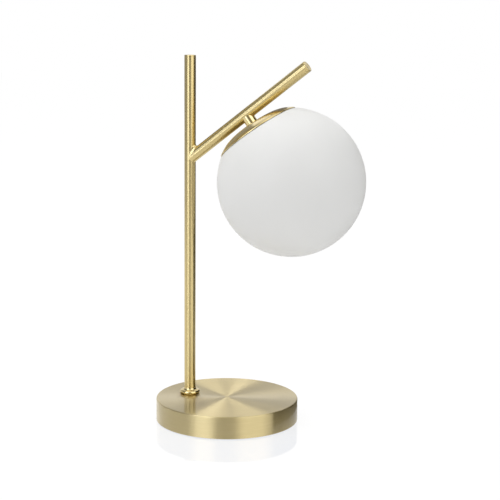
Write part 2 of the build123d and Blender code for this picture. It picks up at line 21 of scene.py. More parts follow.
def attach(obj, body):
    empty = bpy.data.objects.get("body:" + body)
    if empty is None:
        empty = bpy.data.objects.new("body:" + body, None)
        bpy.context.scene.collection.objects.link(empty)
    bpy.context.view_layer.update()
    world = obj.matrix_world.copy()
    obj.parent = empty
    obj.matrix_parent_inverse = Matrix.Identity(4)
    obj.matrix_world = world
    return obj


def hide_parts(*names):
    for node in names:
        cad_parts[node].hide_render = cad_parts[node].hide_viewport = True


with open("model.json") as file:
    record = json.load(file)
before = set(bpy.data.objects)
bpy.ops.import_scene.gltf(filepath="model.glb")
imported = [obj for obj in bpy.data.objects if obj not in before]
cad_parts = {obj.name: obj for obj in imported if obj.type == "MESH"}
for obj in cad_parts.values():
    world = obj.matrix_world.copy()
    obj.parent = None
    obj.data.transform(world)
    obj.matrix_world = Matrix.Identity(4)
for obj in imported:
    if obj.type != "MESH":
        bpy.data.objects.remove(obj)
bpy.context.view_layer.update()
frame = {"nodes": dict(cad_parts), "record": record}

LOG = logging.getLogger("lamp")

Point = tuple[float, float]
Outline = list[Point]
Colour = tuple[float, float, float]
Ring = list[Vector]
Level = Callable[[float], float]
Course = tuple[float, Level]
Inputs = dict[str | int, object]

SHARP_ANGLE = math.radians(32.0)
POLE_RADIUS = 1e-7
DRILL_SEGMENTS = 48
UP = Vector((0.0, 0.0, 1.0))
UNIT: Point = (0.0, 1.0)

# Dimensions that the base and the upright share
STEM_OFFSET = 0.0428
BASE_HEIGHT = 0.024
GAP = 0.00005

# A path's depths are whole numbers, so this parts one from two
ONE_OR_TWO = 1.5

# Plan of the cap's middle, about which the cards behind it curve
CAP_HUB: Point = (0.0294, 0.0)

# Tints of the studio
WHITE: Colour = (1.0, 1.0, 1.0)
BLACK: Colour = (0.0, 0.0, 0.0)
COOL: Colour = (1.0, 1.02, 1.1)
PALE_GREEN: Colour = (1.0, 1.02, 1.0)
SKY: Colour = (0.96, 1.02, 1.2)
DAYLIGHT: Colour = (1.0, 1.02, 1.06)
CREAM: Colour = (1.0, 0.96, 0.82)
GOLD: Colour = (1.0, 0.92, 0.7)
PALE_CREAM: Colour = (1.0, 0.97, 0.9)
SAND: Colour = (1.0, 0.95, 0.85)


class Body(Enum):
    """The rigid bodies that carry new pieces, by their names in the record."""

    STAND = "stand"
    GLOBE = "globe"


class Slot(Enum):
    """The record's material slots."""

    SPUN_BRASS = "spun_brass"
    SATIN_BRASS = "satin_brass"
    POLISHED_BRASS = "polished_brass"
    OPAL_GLASS = "opal_glass"
    FOAM_PAD = "foam_pad"
    GROMMET_RUBBER = "grommet_rubber"
    ZINC_STEEL = "zinc_steel"
    SPRING_STEEL = "spring_steel"
    RAW_IRON = "raw_iron"
    BLOCK_PLASTIC = "block_plastic"
    GASKET_SILICONE = "gasket_silicone"
    HOLDER_CERAMIC = "holder_ceramic"
    BULB_PLASTIC = "bulb_plastic"
    BULB_GLASS = "bulb_glass"
    BULB_METAL = "bulb_metal"
    CHIP_BOARD = "chip_board"
    BROWN_INSULATION = "brown_insulation"
    BLUE_INSULATION = "blue_insulation"


# Meshes


def arc(centre: Point, radius: float, start: float, end: float, steps: int) -> Outline:
    """Points on a circular arc of a turned outline.

    Args:
        centre: Radius and level of the arc's centre.
        radius: Radius of the arc.
        start: First angle in degrees, 0 pointing outwards and 90 up.
        end: Last angle in degrees.
        steps: Number of chords.

    Returns:
        The points from start to end, both included.
    """
    points: Outline = []
    for index in range(steps + 1):
        angle = math.radians(start + (end - start) * index / steps)
        points.append((centre[0] + radius * math.cos(angle), centre[1] + radius * math.sin(angle)))
    return points


def finish_mesh(mesh: bpy.types.Mesh) -> None:
    """Shades a mesh smooth, apart from its sharp edges.

    Args:
        mesh: The mesh to shade.
    """
    for polygon in mesh.polygons:
        polygon.use_smooth = True
    mesh.set_sharp_from_angle(angle=SHARP_ANGLE)
    mesh.update()


def skin(name: str, rings: Sequence[Ring], closed: bool) -> bpy.types.Object:
    """Joins rings of points into one closed mesh.

    A ring of one point is a pole, and its neighbour closes onto it.

    Args:
        name: Name of the object.
        rings: Rings of points in the object's own frame, in order along the surface.
        closed: Whether the last ring joins the first.

    Returns:
        The new object, linked to the scene.
    """
    mesh = bpy.data.meshes.new(name)
    shape = bmesh.new()
    rows = [[shape.verts.new(point) for point in ring] for ring in rings]
    pairs = list(zip(rows, rows[1:]))
    if closed:
        pairs.append((rows[-1], rows[0]))
    for low, high in pairs:
        count = max(len(low), len(high))
        for index in range(count):
            after = (index + 1) % count
            corners = [low[index % len(low)], low[after % len(low)]]
            corners += [high[after % len(high)], high[index % len(high)]]
            shape.faces.new(list(dict.fromkeys(corners)))
    bmesh.ops.recalc_face_normals(shape, faces=shape.faces)
    shape.to_mesh(mesh)
    shape.free()
    finish_mesh(mesh)
    piece = bpy.data.objects.new(name, mesh)
    bpy.context.scene.collection.objects.link(piece)
    return piece


def level_at(value: float) -> Level:
    """A course that stays level.

    Args:
        value: The level.

    Returns:
        A function of the angle that always gives that level.
    """
    return lambda angle: value


def ring_at(radius: float, level: Level, segments: int) -> Ring:
    """Points around the object's own Z axis.

    Args:
        radius: Radius of the ring; on the axis it is a pole of one point.
        level: The level as a function of the angle around.
        segments: Number of points around.

    Returns:
        The ring.
    """
    if radius < POLE_RADIUS:
        return [Vector((0.0, 0.0, level(0.0)))]
    ring: Ring = []
    for index in range(segments):
        angle = 2.0 * math.pi * index / segments
        ring.append(Vector((radius * math.cos(angle), radius * math.sin(angle), level(angle))))
    return ring


def sleeve(name: str, courses: Sequence[Course], segments: int, closed: bool = True) -> bpy.types.Object:
    """Makes a tube whose rings may rise and fall around it, such as a coped end.

    Args:
        name: Name of the object.
        courses: Radius of each ring, and its level as a function of the angle around.
        segments: Number of points around.
        closed: Whether the last course joins the first.

    Returns:
        The new object.
    """
    return skin(name, [ring_at(radius, level, segments) for radius, level in courses], closed)


def lathe(name: str, outline: Outline, segments: int, closed: bool = True) -> bpy.types.Object:
    """Turns an outline about the object's own Z axis.

    Args:
        name: Name of the object.
        outline: Radius and level of each point; a point on the axis makes a pole.
        segments: Number of points around.
        closed: Whether the outline closes on itself.

    Returns:
        The new object.
    """
    return sleeve(name, [(radius, level_at(level)) for radius, level in outline], segments, closed)


def drill(piece: bpy.types.Object, place: Matrix, radius: float, low: float, high: float) -> None:
    """Cuts a round hole through a piece.

    Args:
        piece: The piece, already in its place.
        place: Frame of the hole, its Z along the hole.
        radius: Radius of the hole.
        low: Start of the hole along its axis.
        high: End of the hole along its axis.
    """
    outline = [(0.0, low), (radius, low), (radius, high), (0.0, high)]
    cutter = lathe("drill", outline, DRILL_SEGMENTS, closed=False)
    cutter.matrix_world = place
    cut = piece.modifiers.new("drill", "BOOLEAN")
    cut.operation = "DIFFERENCE"
    cut.solver = "EXACT"
    cut.object = cutter
    bpy.context.view_layer.update()
    result = bpy.data.meshes.new_from_object(piece.evaluated_get(bpy.context.evaluated_depsgraph_get()))
    piece.modifiers.remove(cut)
    piece.data = result
    bpy.data.objects.remove(cutter)
    finish_mesh(result)


def off_axis(point: Vector, axis: Vector) -> Vector:
    """Direction from an axis through the origin straight out to a point.

    Args:
        point: The point.
        axis: Unit vector along the axis.

    Returns:
        The unit vector.
    """
    return (point - axis * point.dot(axis)).normalized()


def flat_square(name: str, half: float, level: float) -> bpy.types.Object:
    """Makes a level square over the origin.

    Args:
        name: Name of the object.
        half: Half of its side.
        level: Its height.

    Returns:
        The new object, linked to the scene.
    """
    mesh = bpy.data.meshes.new(name)
    corners = [(-half, -half, 0.0), (half, -half, 0.0), (half, half, 0.0), (-half, half, 0.0)]
    mesh.from_pydata(corners, [], [(0, 1, 2, 3)])
    square = bpy.data.objects.new(name, mesh)
    square.location.z = level
    bpy.context.scene.collection.objects.link(square)
    return square


# Node trees


class Sheet:
    """A node tree with short calls to add and join nodes."""

    def __init__(self, tree: bpy.types.NodeTree) -> None:
        """Clears the tree and keeps it."""
        self.tree = tree
        tree.nodes.clear()

    def add(self, kind: str, inputs: Inputs | None = None, **settings: object) -> bpy.types.Node:
        """Adds a node.

        Args:
            kind: Type of the node without its ShaderNode prefix.
            inputs: Values or output sockets for the node's inputs, by name or index.
            settings: Properties of the node itself.

        Returns:
            The node.
        """
        node = self.tree.nodes.new("ShaderNode" + kind)
        for key, value in settings.items():
            setattr(node, key, value)
        for key, value in (inputs or {}).items():
            if isinstance(value, bpy.types.NodeSocket):
                self.tree.links.new(value, node.inputs[key])
            else:
                node.inputs[key].default_value = value
        return node

    def math(self, operation: str, first: object, second: object = 0.0) -> bpy.types.NodeSocket:
        """A math node's result.

        Args:
            operation: The node's operation.
            first: First value or socket.
            second: Second value or socket.

        Returns:
            The output socket.
        """
        return self.add("Math", {0: first, 1: second}, operation=operation).outputs[0]

    def spread(self, value: bpy.types.NodeSocket, ends: Point, result: Point) -> bpy.types.NodeSocket:
        """Maps a value from one range to another and clamps it.

        Args:
            value: The socket to map.
            ends: The range it comes in.
            result: The range it goes to.

        Returns:
            The output socket.
        """
        node = self.add("MapRange", {0: value, 1: ends[0], 2: ends[1], 3: result[0], 4: result[1]})
        return node.outputs[0]

    def tint(self, mask: bpy.types.NodeSocket, first: object, second: object) -> bpy.types.NodeSocket:
        """Mixes two colours by a mask.

        Args:
            mask: The factor.
            first: Colour or socket where the mask is 0.
            second: Colour or socket where the mask is 1.

        Returns:
            The colour socket.
        """
        node = self.add("Mix", {0: mask, 6: first, 7: second}, data_type="RGBA")
        return node.outputs[2]


def rgba(colour: Colour) -> tuple[float, float, float, float]:
    """A colour with full alpha."""
    return (*colour, 1.0)


class Effect:
    """A surface effect that several materials share, kept as one shader node group.

    Each group takes a place on the piece, and the numbers in takes with their usual values.
    """

    label: ClassVar[str] = ""
    takes: ClassVar[dict[str, float]] = {}
    gives: ClassVar[tuple[str, ...]] = ()

    @classmethod
    def tree(cls) -> bpy.types.NodeTree:
        """Builds the group on first use.

        Returns:
            The group's node tree.
        """
        known = bpy.data.node_groups.get(cls.label)
        if known is not None:
            return known
        tree = bpy.data.node_groups.new(cls.label, "ShaderNodeTree")
        tree.interface.new_socket("Place", in_out="INPUT", socket_type="NodeSocketVector")
        for name, value in cls.takes.items():
            socket = tree.interface.new_socket(name, in_out="INPUT", socket_type="NodeSocketFloat")
            socket.default_value = value
        for name in cls.gives:
            tree.interface.new_socket(name, in_out="OUTPUT", socket_type="NodeSocketFloat")
        sheet = Sheet(tree)
        entry = tree.nodes.new("NodeGroupInput")
        leave = tree.nodes.new("NodeGroupOutput")
        for name, socket in cls.draw(sheet, entry).items():
            tree.links.new(socket, leave.inputs[name])
        return tree

    @classmethod
    def draw(cls, sheet: Sheet, entry: bpy.types.Node) -> dict[str, bpy.types.NodeSocket]:
        """Draws the group's nodes.

        Args:
            sheet: The group's own tree.
            entry: Its input node.

        Returns:
            The socket for each output.
        """
        raise NotImplementedError

    @classmethod
    def place(cls, sheet: Sheet, **values: object) -> bpy.types.Node:
        """Places the group in a material.

        Args:
            sheet: The material's tree.
            values: Input values or sockets, with underscores for the spaces in their names.

        Returns:
            The group node.
        """
        inputs: Inputs = {key.replace("_", " "): value for key, value in values.items()}
        return sheet.add("Group", inputs, node_tree=cls.tree())


class BrushRings(Effect):
    """Fine scratches that run around the piece's own Z axis, as a lathe leaves them."""

    label = "brush rings"
    takes = {
        "Lines": 6000.0,
        "Broad Lines": 700.0,
        "Wander": 3.0,
    }
    gives = ("Scratch", "Band")
    contrast: ClassVar[Point] = (0.3, 0.7)
    roughness: ClassVar[float] = 0.6

    @classmethod
    def draw(cls, sheet: Sheet, entry: bpy.types.Node) -> dict[str, bpy.types.NodeSocket]:
        """Draws noise that is stretched around the axis and tight along the outline.

        Args:
            sheet: The group's own tree.
            entry: Its input node.

        Returns:
            The socket for each output.
        """
        place = sheet.add("SeparateXYZ", {0: entry.outputs["Place"]})
        flat = sheet.add("CombineXYZ", {0: place.outputs[0], 1: place.outputs[1]})
        reach = sheet.add("VectorMath", {0: flat.outputs[0]}, operation="LENGTH").outputs["Value"]
        around = sheet.add("VectorMath", {0: flat.outputs[0]}, operation="NORMALIZE").outputs[0]
        turn = sheet.add("SeparateXYZ", {0: around})
        along = sheet.math("SUBTRACT", reach, place.outputs[2])
        result = {}
        for name, lines, detail in (("Scratch", "Lines", 4.0), ("Band", "Broad Lines", 2.0)):
            spot = sheet.add(
                "CombineXYZ",
                {
                    0: sheet.math("MULTIPLY", along, entry.outputs[lines]),
                    1: sheet.math("MULTIPLY", turn.outputs[0], entry.outputs["Wander"]),
                    2: sheet.math("MULTIPLY", turn.outputs[1], entry.outputs["Wander"]),
                },
            )
            noise = sheet.add(
                "TexNoise",
                {"Vector": spot.outputs[0], "Scale": 1.0, "Detail": detail, "Roughness": cls.roughness},
            )
            result[name] = sheet.spread(noise.outputs[0], cls.contrast, UNIT)
        return result


class HandlingMarks(Effect):
    """Soft cloudy patches, as handling and wiping leave on a finish."""

    label = "handling marks"
    takes = {
        "Patches": 35.0,
        "Start": 0.4,
        "End": 0.7,
    }
    gives = ("Mark",)

    @classmethod
    def draw(cls, sheet: Sheet, entry: bpy.types.Node) -> dict[str, bpy.types.NodeSocket]:
        """Draws a distorted noise between two thresholds.

        Args:
            sheet: The group's own tree.
            entry: Its input node.

        Returns:
            The socket for each output.
        """
        noise = sheet.add(
            "TexNoise",
            {
                "Vector": entry.outputs["Place"],
                "Scale": entry.outputs["Patches"],
                "Detail": 3.0,
                "Roughness": 0.55,
                "Distortion": 0.6,
            },
        )
        node = sheet.add(
            "MapRange",
            {0: noise.outputs[0], 1: entry.outputs["Start"], 2: entry.outputs["End"]},
            interpolation_type="SMOOTHSTEP",
        )
        return {"Mark": node.outputs[0]}


class EdgeWear(Effect):
    """Edges that rubbing has made lighter and smoother."""

    label = "edge wear"
    takes = {
        "Start": 0.53,
        "End": 0.62,
        "Breaks": 300.0,
    }
    gives = ("Wear",)
    break_noise: ClassVar[Point] = (0.35, 0.6)
    break_share: ClassVar[Point] = (0.35, 1.0)

    @classmethod
    def draw(cls, sheet: Sheet, entry: bpy.types.Node) -> dict[str, bpy.types.NodeSocket]:
        """Draws the mesh's convex edges, broken up by a noise.

        Args:
            sheet: The group's own tree.
            entry: Its input node.

        Returns:
            The socket for each output.
        """
        edge = sheet.add("NewGeometry").outputs["Pointiness"]
        band = sheet.add("MapRange", {0: edge, 1: entry.outputs["Start"], 2: entry.outputs["End"]})
        noise = sheet.add(
            "TexNoise", {"Vector": entry.outputs["Place"], "Scale": entry.outputs["Breaks"], "Detail": 3.0}
        )
        broken = sheet.spread(noise.outputs[0], cls.break_noise, cls.break_share)
        return {"Wear": sheet.math("MULTIPLY", band.outputs[0], broken)}


class Grain(Effect):
    """Fine grain of moulded, cast, fired or foamed stuff."""

    label = "grain"
    takes = {
        "Fine": 4000.0,
        "Coarse": 500.0,
        "Cells": 0.0,
    }
    gives = ("Height", "Patch")
    swell_share: ClassVar[float] = 0.5
    patch_noise: ClassVar[Point] = (0.35, 0.68)

    @classmethod
    def draw(cls, sheet: Sheet, entry: bpy.types.Node) -> dict[str, bpy.types.NodeSocket]:
        """Draws two noises and, by the share of Cells, round pits.

        Args:
            sheet: The group's own tree.
            entry: Its input node.

        Returns:
            The socket for each output.
        """
        place = entry.outputs["Place"]
        fine = sheet.add("TexNoise", {"Vector": place, "Scale": entry.outputs["Fine"], "Detail": 4.0})
        coarse = sheet.add("TexNoise", {"Vector": place, "Scale": entry.outputs["Coarse"], "Detail": 3.0})
        pits = sheet.add("TexVoronoi", {"Vector": place, "Scale": entry.outputs["Fine"]})
        pit = sheet.math("MULTIPLY", pits.outputs["Distance"], entry.outputs["Cells"])
        swell = sheet.math("MULTIPLY", coarse.outputs[0], cls.swell_share)
        height = sheet.math("ADD", sheet.math("ADD", fine.outputs[0], swell), pit)
        patch = sheet.spread(coarse.outputs[0], cls.patch_noise, UNIT)
        return {"Height": height, "Patch": patch}


def new_material(name: str) -> tuple[bpy.types.Material, Sheet]:
    """Makes an empty node material.

    Args:
        name: Name of the material.

    Returns:
        The material and its tree.
    """
    material = bpy.data.materials.new(name)
    material.use_nodes = True
    return material, Sheet(material.node_tree)


def close_material(sheet: Sheet, shader: bpy.types.Node) -> None:
    """Joins a shader to a new material output.

    Args:
        sheet: The material's tree.
        shader: The shader node.
    """
    leave = sheet.add("OutputMaterial")
    sheet.tree.links.new(shader.outputs[0], leave.inputs["Surface"])


# Finishes


@dataclass(frozen=True)
class BrassFinish:
    """Lacquered brass, from coarse brushing to a polish."""

    slot: Slot
    tone: Colour
    shade: Colour
    roughness: Point
    anisotropic: float
    lines: float
    broad_lines: float
    scratch_depth: float
    coat: float
    coat_roughness: float = 0.06
    patches: float = 30.0
    mark_share: float = 0.12
    mark_roughness: float = 0.02
    wear_gain: float = 1.12
    wear_share: float = 0.5
    wear_polish: float = 0.05
    scratch_relief: float = 0.00002
    brush_turn: float = 0.25

    def material(self) -> bpy.types.Material:
        """Builds the material.

        Returns:
            The brass, brushed around the piece's own Z axis.
        """
        material, sheet = new_material(self.slot.value)
        place = sheet.add("TexCoord").outputs["Object"]
        rings = BrushRings.place(sheet, Place=place, Lines=self.lines, Broad_Lines=self.broad_lines)
        marks = HandlingMarks.place(sheet, Place=place, Patches=self.patches)
        wear = EdgeWear.place(sheet, Place=place)
        both = sheet.math("ADD", rings.outputs["Scratch"], rings.outputs["Band"])
        streak = sheet.math("MULTIPLY", both, 0.5)
        colour = sheet.tint(streak, rgba(self.shade), rgba(self.tone))
        marked = sheet.math("MULTIPLY", marks.outputs["Mark"], self.mark_share)
        colour = sheet.tint(marked, colour, rgba(self.shade))
        bright = tuple(min(1.0, self.wear_gain * part) for part in self.tone)
        worn = sheet.math("MULTIPLY", wear.outputs["Wear"], self.wear_share)
        colour = sheet.tint(worn, colour, rgba(bright))
        rough = sheet.spread(streak, UNIT, self.roughness)
        dulled = sheet.math("MULTIPLY", marks.outputs["Mark"], self.mark_roughness)
        rough = sheet.math("ADD", rough, dulled)
        polished = sheet.math("MULTIPLY", wear.outputs["Wear"], self.wear_polish)
        rough = sheet.math("SUBTRACT", rough, polished)
        scratch = rings.outputs["Scratch"]
        relief = {"Strength": self.scratch_depth, "Distance": self.scratch_relief, "Height": scratch}
        bump = sheet.add("Bump", relief)
        inputs: Inputs = {
            "Base Color": colour,
            "Metallic": 1.0,
            "Roughness": rough,
            "Normal": bump.outputs[0],
            "Coat Weight": self.coat,
            "Coat Roughness": self.coat_roughness,
            "Anisotropic": self.anisotropic,
            "Anisotropic Rotation": self.brush_turn,
        }
        if self.anisotropic > 0.0:
            inputs["Tangent"] = sheet.add("Tangent", direction_type="RADIAL", axis="Z").outputs[0]
        close_material(sheet, sheet.add("BsdfPrincipled", inputs))
        return material


@dataclass(frozen=True)
class OpalFinish:
    """Satin opal glass, white all through."""

    slot: Slot
    tone: Colour
    shade: Colour
    roughness: Point
    depth: float
    clouds: float = 12.0
    cloud_noise: Point = (0.35, 0.75)
    fine: float = 2600.0
    coarse: float = 60.0
    bump: float = 0.05
    relief: float = 0.00003
    scatter: float = 0.25
    scatter_radius: Colour = (1.0, 1.0, 0.96)
    specular: float = 0.25

    def material(self) -> bpy.types.Material:
        """Builds the material.

        Returns:
            The glass, with a frosted skin over a scattering body.
        """
        material, sheet = new_material(self.slot.value)
        place = sheet.add("TexCoord").outputs["Object"]
        start, end = self.cloud_noise
        marks = HandlingMarks.place(sheet, Place=place, Patches=self.clouds, Start=start, End=end)
        grain = Grain.place(sheet, Place=place, Fine=self.fine, Coarse=self.coarse)
        colour = sheet.tint(marks.outputs["Mark"], rgba(self.tone), rgba(self.shade))
        rough = sheet.spread(grain.outputs["Patch"], UNIT, self.roughness)
        height = grain.outputs["Height"]
        bump = sheet.add("Bump", {"Strength": self.bump, "Distance": self.relief, "Height": height})
        inputs: Inputs = {
            "Base Color": colour,
            "Roughness": rough,
            "Normal": bump.outputs[0],
            "Subsurface Weight": self.scatter,
            "Subsurface Radius": self.scatter_radius,
            "Subsurface Scale": self.depth,
            "Specular IOR Level": self.specular,
        }
        close_material(sheet, sheet.add("BsdfPrincipled", inputs))
        return material


@dataclass(frozen=True)
class SteelFinish:
    """Plated, drawn or tempered steel."""

    slot: Slot
    tone: Colour
    shade: Colour
    roughness: Point
    fine: float
    coarse: float = 900.0
    clouds: float = 260.0
    cloud_noise: Point = (0.3, 0.7)
    wear_breaks: float = 900.0
    wear_tone: Colour = (0.85, 0.85, 0.85)
    wear_share: float = 0.4
    bump: float = 0.15
    relief: float = 0.00004

    def material(self) -> bpy.types.Material:
        """Builds the material.

        Returns:
            The steel, with cloudy plating and a fine grain.
        """
        material, sheet = new_material(self.slot.value)
        place = sheet.add("TexCoord").outputs["Object"]
        start, end = self.cloud_noise
        marks = HandlingMarks.place(sheet, Place=place, Patches=self.clouds, Start=start, End=end)
        grain = Grain.place(sheet, Place=place, Fine=self.fine, Coarse=self.coarse)
        wear = EdgeWear.place(sheet, Place=place, Breaks=self.wear_breaks)
        colour = sheet.tint(marks.outputs["Mark"], rgba(self.tone), rgba(self.shade))
        worn = sheet.math("MULTIPLY", wear.outputs["Wear"], self.wear_share)
        colour = sheet.tint(worn, colour, rgba(self.wear_tone))
        rough = sheet.spread(grain.outputs["Patch"], UNIT, self.roughness)
        height = grain.outputs["Height"]
        bump = sheet.add("Bump", {"Strength": self.bump, "Distance": self.relief, "Height": height})
        inputs = {"Base Color": colour, "Metallic": 1.0, "Roughness": rough, "Normal": bump.outputs[0]}
        close_material(sheet, sheet.add("BsdfPrincipled", inputs))
        return material


@dataclass(frozen=True)
class MouldedFinish:
    """Rubber, foam, plastic, ceramic or bare iron."""

    slot: Slot
    tone: Colour
    shade: Colour
    roughness: Point
    fine: float
    coarse: float
    bump: float
    relief: float
    cells: float = 0.0
    metallic: float = 0.0
    wear_breaks: float = 700.0
    wear_lift: float = 0.06
    wear_share: float = 0.6

    def material(self) -> bpy.types.Material:
        """Builds the material.

        Returns:
            The material, with its grain in colour, gloss and relief.
        """
        material, sheet = new_material(self.slot.value)
        place = sheet.add("TexCoord").outputs["Object"]
        grain = Grain.place(sheet, Place=place, Fine=self.fine, Coarse=self.coarse, Cells=self.cells)
        wear = EdgeWear.place(sheet, Place=place, Breaks=self.wear_breaks)
        colour = sheet.tint(grain.outputs["Patch"], rgba(self.tone), rgba(self.shade))
        pale = tuple(min(1.0, part + self.wear_lift) for part in self.tone)
        worn = sheet.math("MULTIPLY", wear.outputs["Wear"], self.wear_share)
        colour = sheet.tint(worn, colour, rgba(pale))
        rough = sheet.spread(grain.outputs["Patch"], UNIT, self.roughness)
        height = grain.outputs["Height"]
        bump = sheet.add("Bump", {"Strength": self.bump, "Distance": self.relief, "Height": height})
        inputs = {
            "Base Color": colour,
            "Metallic": self.metallic,
            "Roughness": rough,
            "Normal": bump.outputs[0],
        }
        close_material(sheet, sheet.add("BsdfPrincipled", inputs))
        return material


@dataclass(frozen=True)
class FrostedFinish:
    """Thin frosted glass that lets light through."""

    slot: Slot
    tone: Colour
    roughness: Point
    fine: float = 3000.0
    coarse: float = 400.0
    bump: float = 0.1
    relief: float = 0.00002
    ior: float = 1.5
    transmission: float = 0.85

    def material(self) -> bpy.types.Material:
        """Builds the material.

        Returns:
            The glass, with an uneven frost.
        """
        material, sheet = new_material(self.slot.value)
        place = sheet.add("TexCoord").outputs["Object"]
        grain = Grain.place(sheet, Place=place, Fine=self.fine, Coarse=self.coarse)
        rough = sheet.spread(grain.outputs["Patch"], UNIT, self.roughness)
        height = grain.outputs["Height"]
        bump = sheet.add("Bump", {"Strength": self.bump, "Distance": self.relief, "Height": height})
        inputs = {
            "Base Color": rgba(self.tone),
            "Roughness": rough,
            "IOR": self.ior,
            "Transmission Weight": self.transmission,
            "Normal": bump.outputs[0],
        }
        close_material(sheet, sheet.add("BsdfPrincipled", inputs))
        return material


FINISHES = (
    BrassFinish(
        slot=Slot.SPUN_BRASS,
        tone=(0.64, 0.53, 0.27),
        shade=(0.57, 0.46, 0.225),
        roughness=(0.38, 0.45),
        anisotropic=1.0,
        lines=5200.0,
        broad_lines=600.0,
        scratch_depth=0.12,
        coat=0.48,
    ),
    BrassFinish(
        slot=Slot.SATIN_BRASS,
        tone=(0.63, 0.51, 0.245),
        shade=(0.59, 0.47, 0.22),
        roughness=(0.22, 0.24),
        anisotropic=1.0,
        lines=4200.0,
        broad_lines=500.0,
        scratch_depth=0.0,
        coat=0.05,
    ),
    BrassFinish(
        slot=Slot.POLISHED_BRASS,
        tone=(0.64, 0.52, 0.26),
        shade=(0.61, 0.49, 0.235),
        roughness=(0.15, 0.19),
        anisotropic=0.0,
        lines=7000.0,
        broad_lines=400.0,
        scratch_depth=0.02,
        coat=0.05,
    ),
    OpalFinish(
        slot=Slot.OPAL_GLASS,
        tone=(0.86, 0.86, 0.845),
        shade=(0.84, 0.84, 0.825),
        roughness=(0.42, 0.52),
        depth=0.004,
    ),
    MouldedFinish(
        slot=Slot.FOAM_PAD,
        tone=(0.03, 0.03, 0.032),
        shade=(0.05, 0.05, 0.052),
        roughness=(0.85, 0.95),
        fine=2200.0,
        coarse=260.0,
        bump=0.6,
        relief=0.0003,
        cells=1.5,
    ),
    MouldedFinish(
        slot=Slot.GROMMET_RUBBER,
        tone=(0.02, 0.02, 0.021),
        shade=(0.035, 0.035, 0.035),
        roughness=(0.5, 0.65),
        fine=3000.0,
        coarse=400.0,
        bump=0.25,
        relief=0.00006,
    ),
    SteelFinish(
        slot=Slot.ZINC_STEEL,
        tone=(0.6, 0.61, 0.63),
        shade=(0.48, 0.49, 0.52),
        roughness=(0.28, 0.42),
        fine=3500.0,
    ),
    SteelFinish(
        slot=Slot.SPRING_STEEL,
        tone=(0.5, 0.51, 0.54),
        shade=(0.4, 0.41, 0.45),
        roughness=(0.22, 0.34),
        fine=5000.0,
    ),
    MouldedFinish(
        slot=Slot.RAW_IRON,
        tone=(0.12, 0.118, 0.12),
        shade=(0.2, 0.19, 0.185),
        roughness=(0.6, 0.8),
        fine=1400.0,
        coarse=300.0,
        bump=0.5,
        relief=0.0003,
        metallic=0.6,
    ),
    MouldedFinish(
        slot=Slot.BLOCK_PLASTIC,
        tone=(0.8, 0.8, 0.77),
        shade=(0.74, 0.74, 0.71),
        roughness=(0.35, 0.5),
        fine=2500.0,
        coarse=300.0,
        bump=0.12,
        relief=0.00005,
    ),
    MouldedFinish(
        slot=Slot.GASKET_SILICONE,
        tone=(0.78, 0.78, 0.77),
        shade=(0.72, 0.72, 0.71),
        roughness=(0.45, 0.6),
        fine=2200.0,
        coarse=350.0,
        bump=0.12,
        relief=0.00005,
    ),
    MouldedFinish(
        slot=Slot.HOLDER_CERAMIC,
        tone=(0.82, 0.8, 0.74),
        shade=(0.74, 0.72, 0.66),
        roughness=(0.45, 0.65),
        fine=2600.0,
        coarse=420.0,
        bump=0.3,
        relief=0.00008,
    ),
    MouldedFinish(
        slot=Slot.BULB_PLASTIC,
        tone=(0.84, 0.84, 0.82),
        shade=(0.8, 0.8, 0.78),
        roughness=(0.25, 0.35),
        fine=3000.0,
        coarse=300.0,
        bump=0.08,
        relief=0.00004,
    ),
    FrostedFinish(
        slot=Slot.BULB_GLASS,
        tone=(0.97, 0.97, 0.96),
        roughness=(0.22, 0.34),
    ),
    SteelFinish(
        slot=Slot.BULB_METAL,
        tone=(0.72, 0.72, 0.73),
        shade=(0.6, 0.6, 0.62),
        roughness=(0.2, 0.3),
        fine=6000.0,
    ),
    MouldedFinish(
        slot=Slot.CHIP_BOARD,
        tone=(0.82, 0.68, 0.2),
        shade=(0.76, 0.6, 0.14),
        roughness=(0.5, 0.65),
        fine=3000.0,
        coarse=700.0,
        bump=0.2,
        relief=0.00006,
    ),
    MouldedFinish(
        slot=Slot.BROWN_INSULATION,
        tone=(0.17, 0.075, 0.035),
        shade=(0.13, 0.055, 0.026),
        roughness=(0.35, 0.5),
        fine=2500.0,
        coarse=300.0,
        bump=0.1,
        relief=0.00005,
    ),
    MouldedFinish(
        slot=Slot.BLUE_INSULATION,
        tone=(0.035, 0.13, 0.42),
        shade=(0.028, 0.1, 0.34),
        roughness=(0.35, 0.5),
        fine=2500.0,
        coarse=300.0,
        bump=0.1,
        relief=0.00005,
    ),
)


class Palette:
    """The built materials, by slot."""

    def __init__(self) -> None:
        """Builds each finish once."""
        self.materials = {finish.slot: finish.material() for finish in FINISHES}

    def dress(self, piece: bpy.types.Object, slot: Slot) -> None:
        """Gives a piece its only material.

        Args:
            piece: A new piece or a CAD node's object.
            slot: The slot whose finish it takes.
        """
        piece.data.materials.clear()
        piece.data.materials.append(self.materials[slot])

    def dress_nodes(self) -> None:
        """Gives every CAD node the finish that the record names for it."""
        for row in frame["record"]["subparts"]:
            self.dress(frame["nodes"][row["node"]], Slot(row["material_slot"]))


# Sub-assemblies


class Assembly:
    """What the lamp's sub-assemblies share: placing, dressing and reporting their pieces."""

    palette: ClassVar[Palette]

    def set_in(
        self, piece: bpy.types.Object, place: Matrix, slot: Slot, node: str | None, body: Body = Body.STAND
    ) -> bpy.types.Object:
        """Puts a piece in its place on a body.

        Args:
            piece: The new piece, made in its own frame.
            place: The piece's frame in the lamp.
            slot: The slot whose finish it takes.
            node: The CAD node that it stands for, or None.
            body: The body that carries it.

        Returns:
            The piece.
        """
        piece.matrix_world = place
        self.palette.dress(piece, slot)
        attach(piece, body.value)
        if node is not None:
            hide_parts(node)
        LOG.info("%s on %s in %s, %d faces", piece.name, body.value, slot.value, len(piece.data.polygons))
        return piece


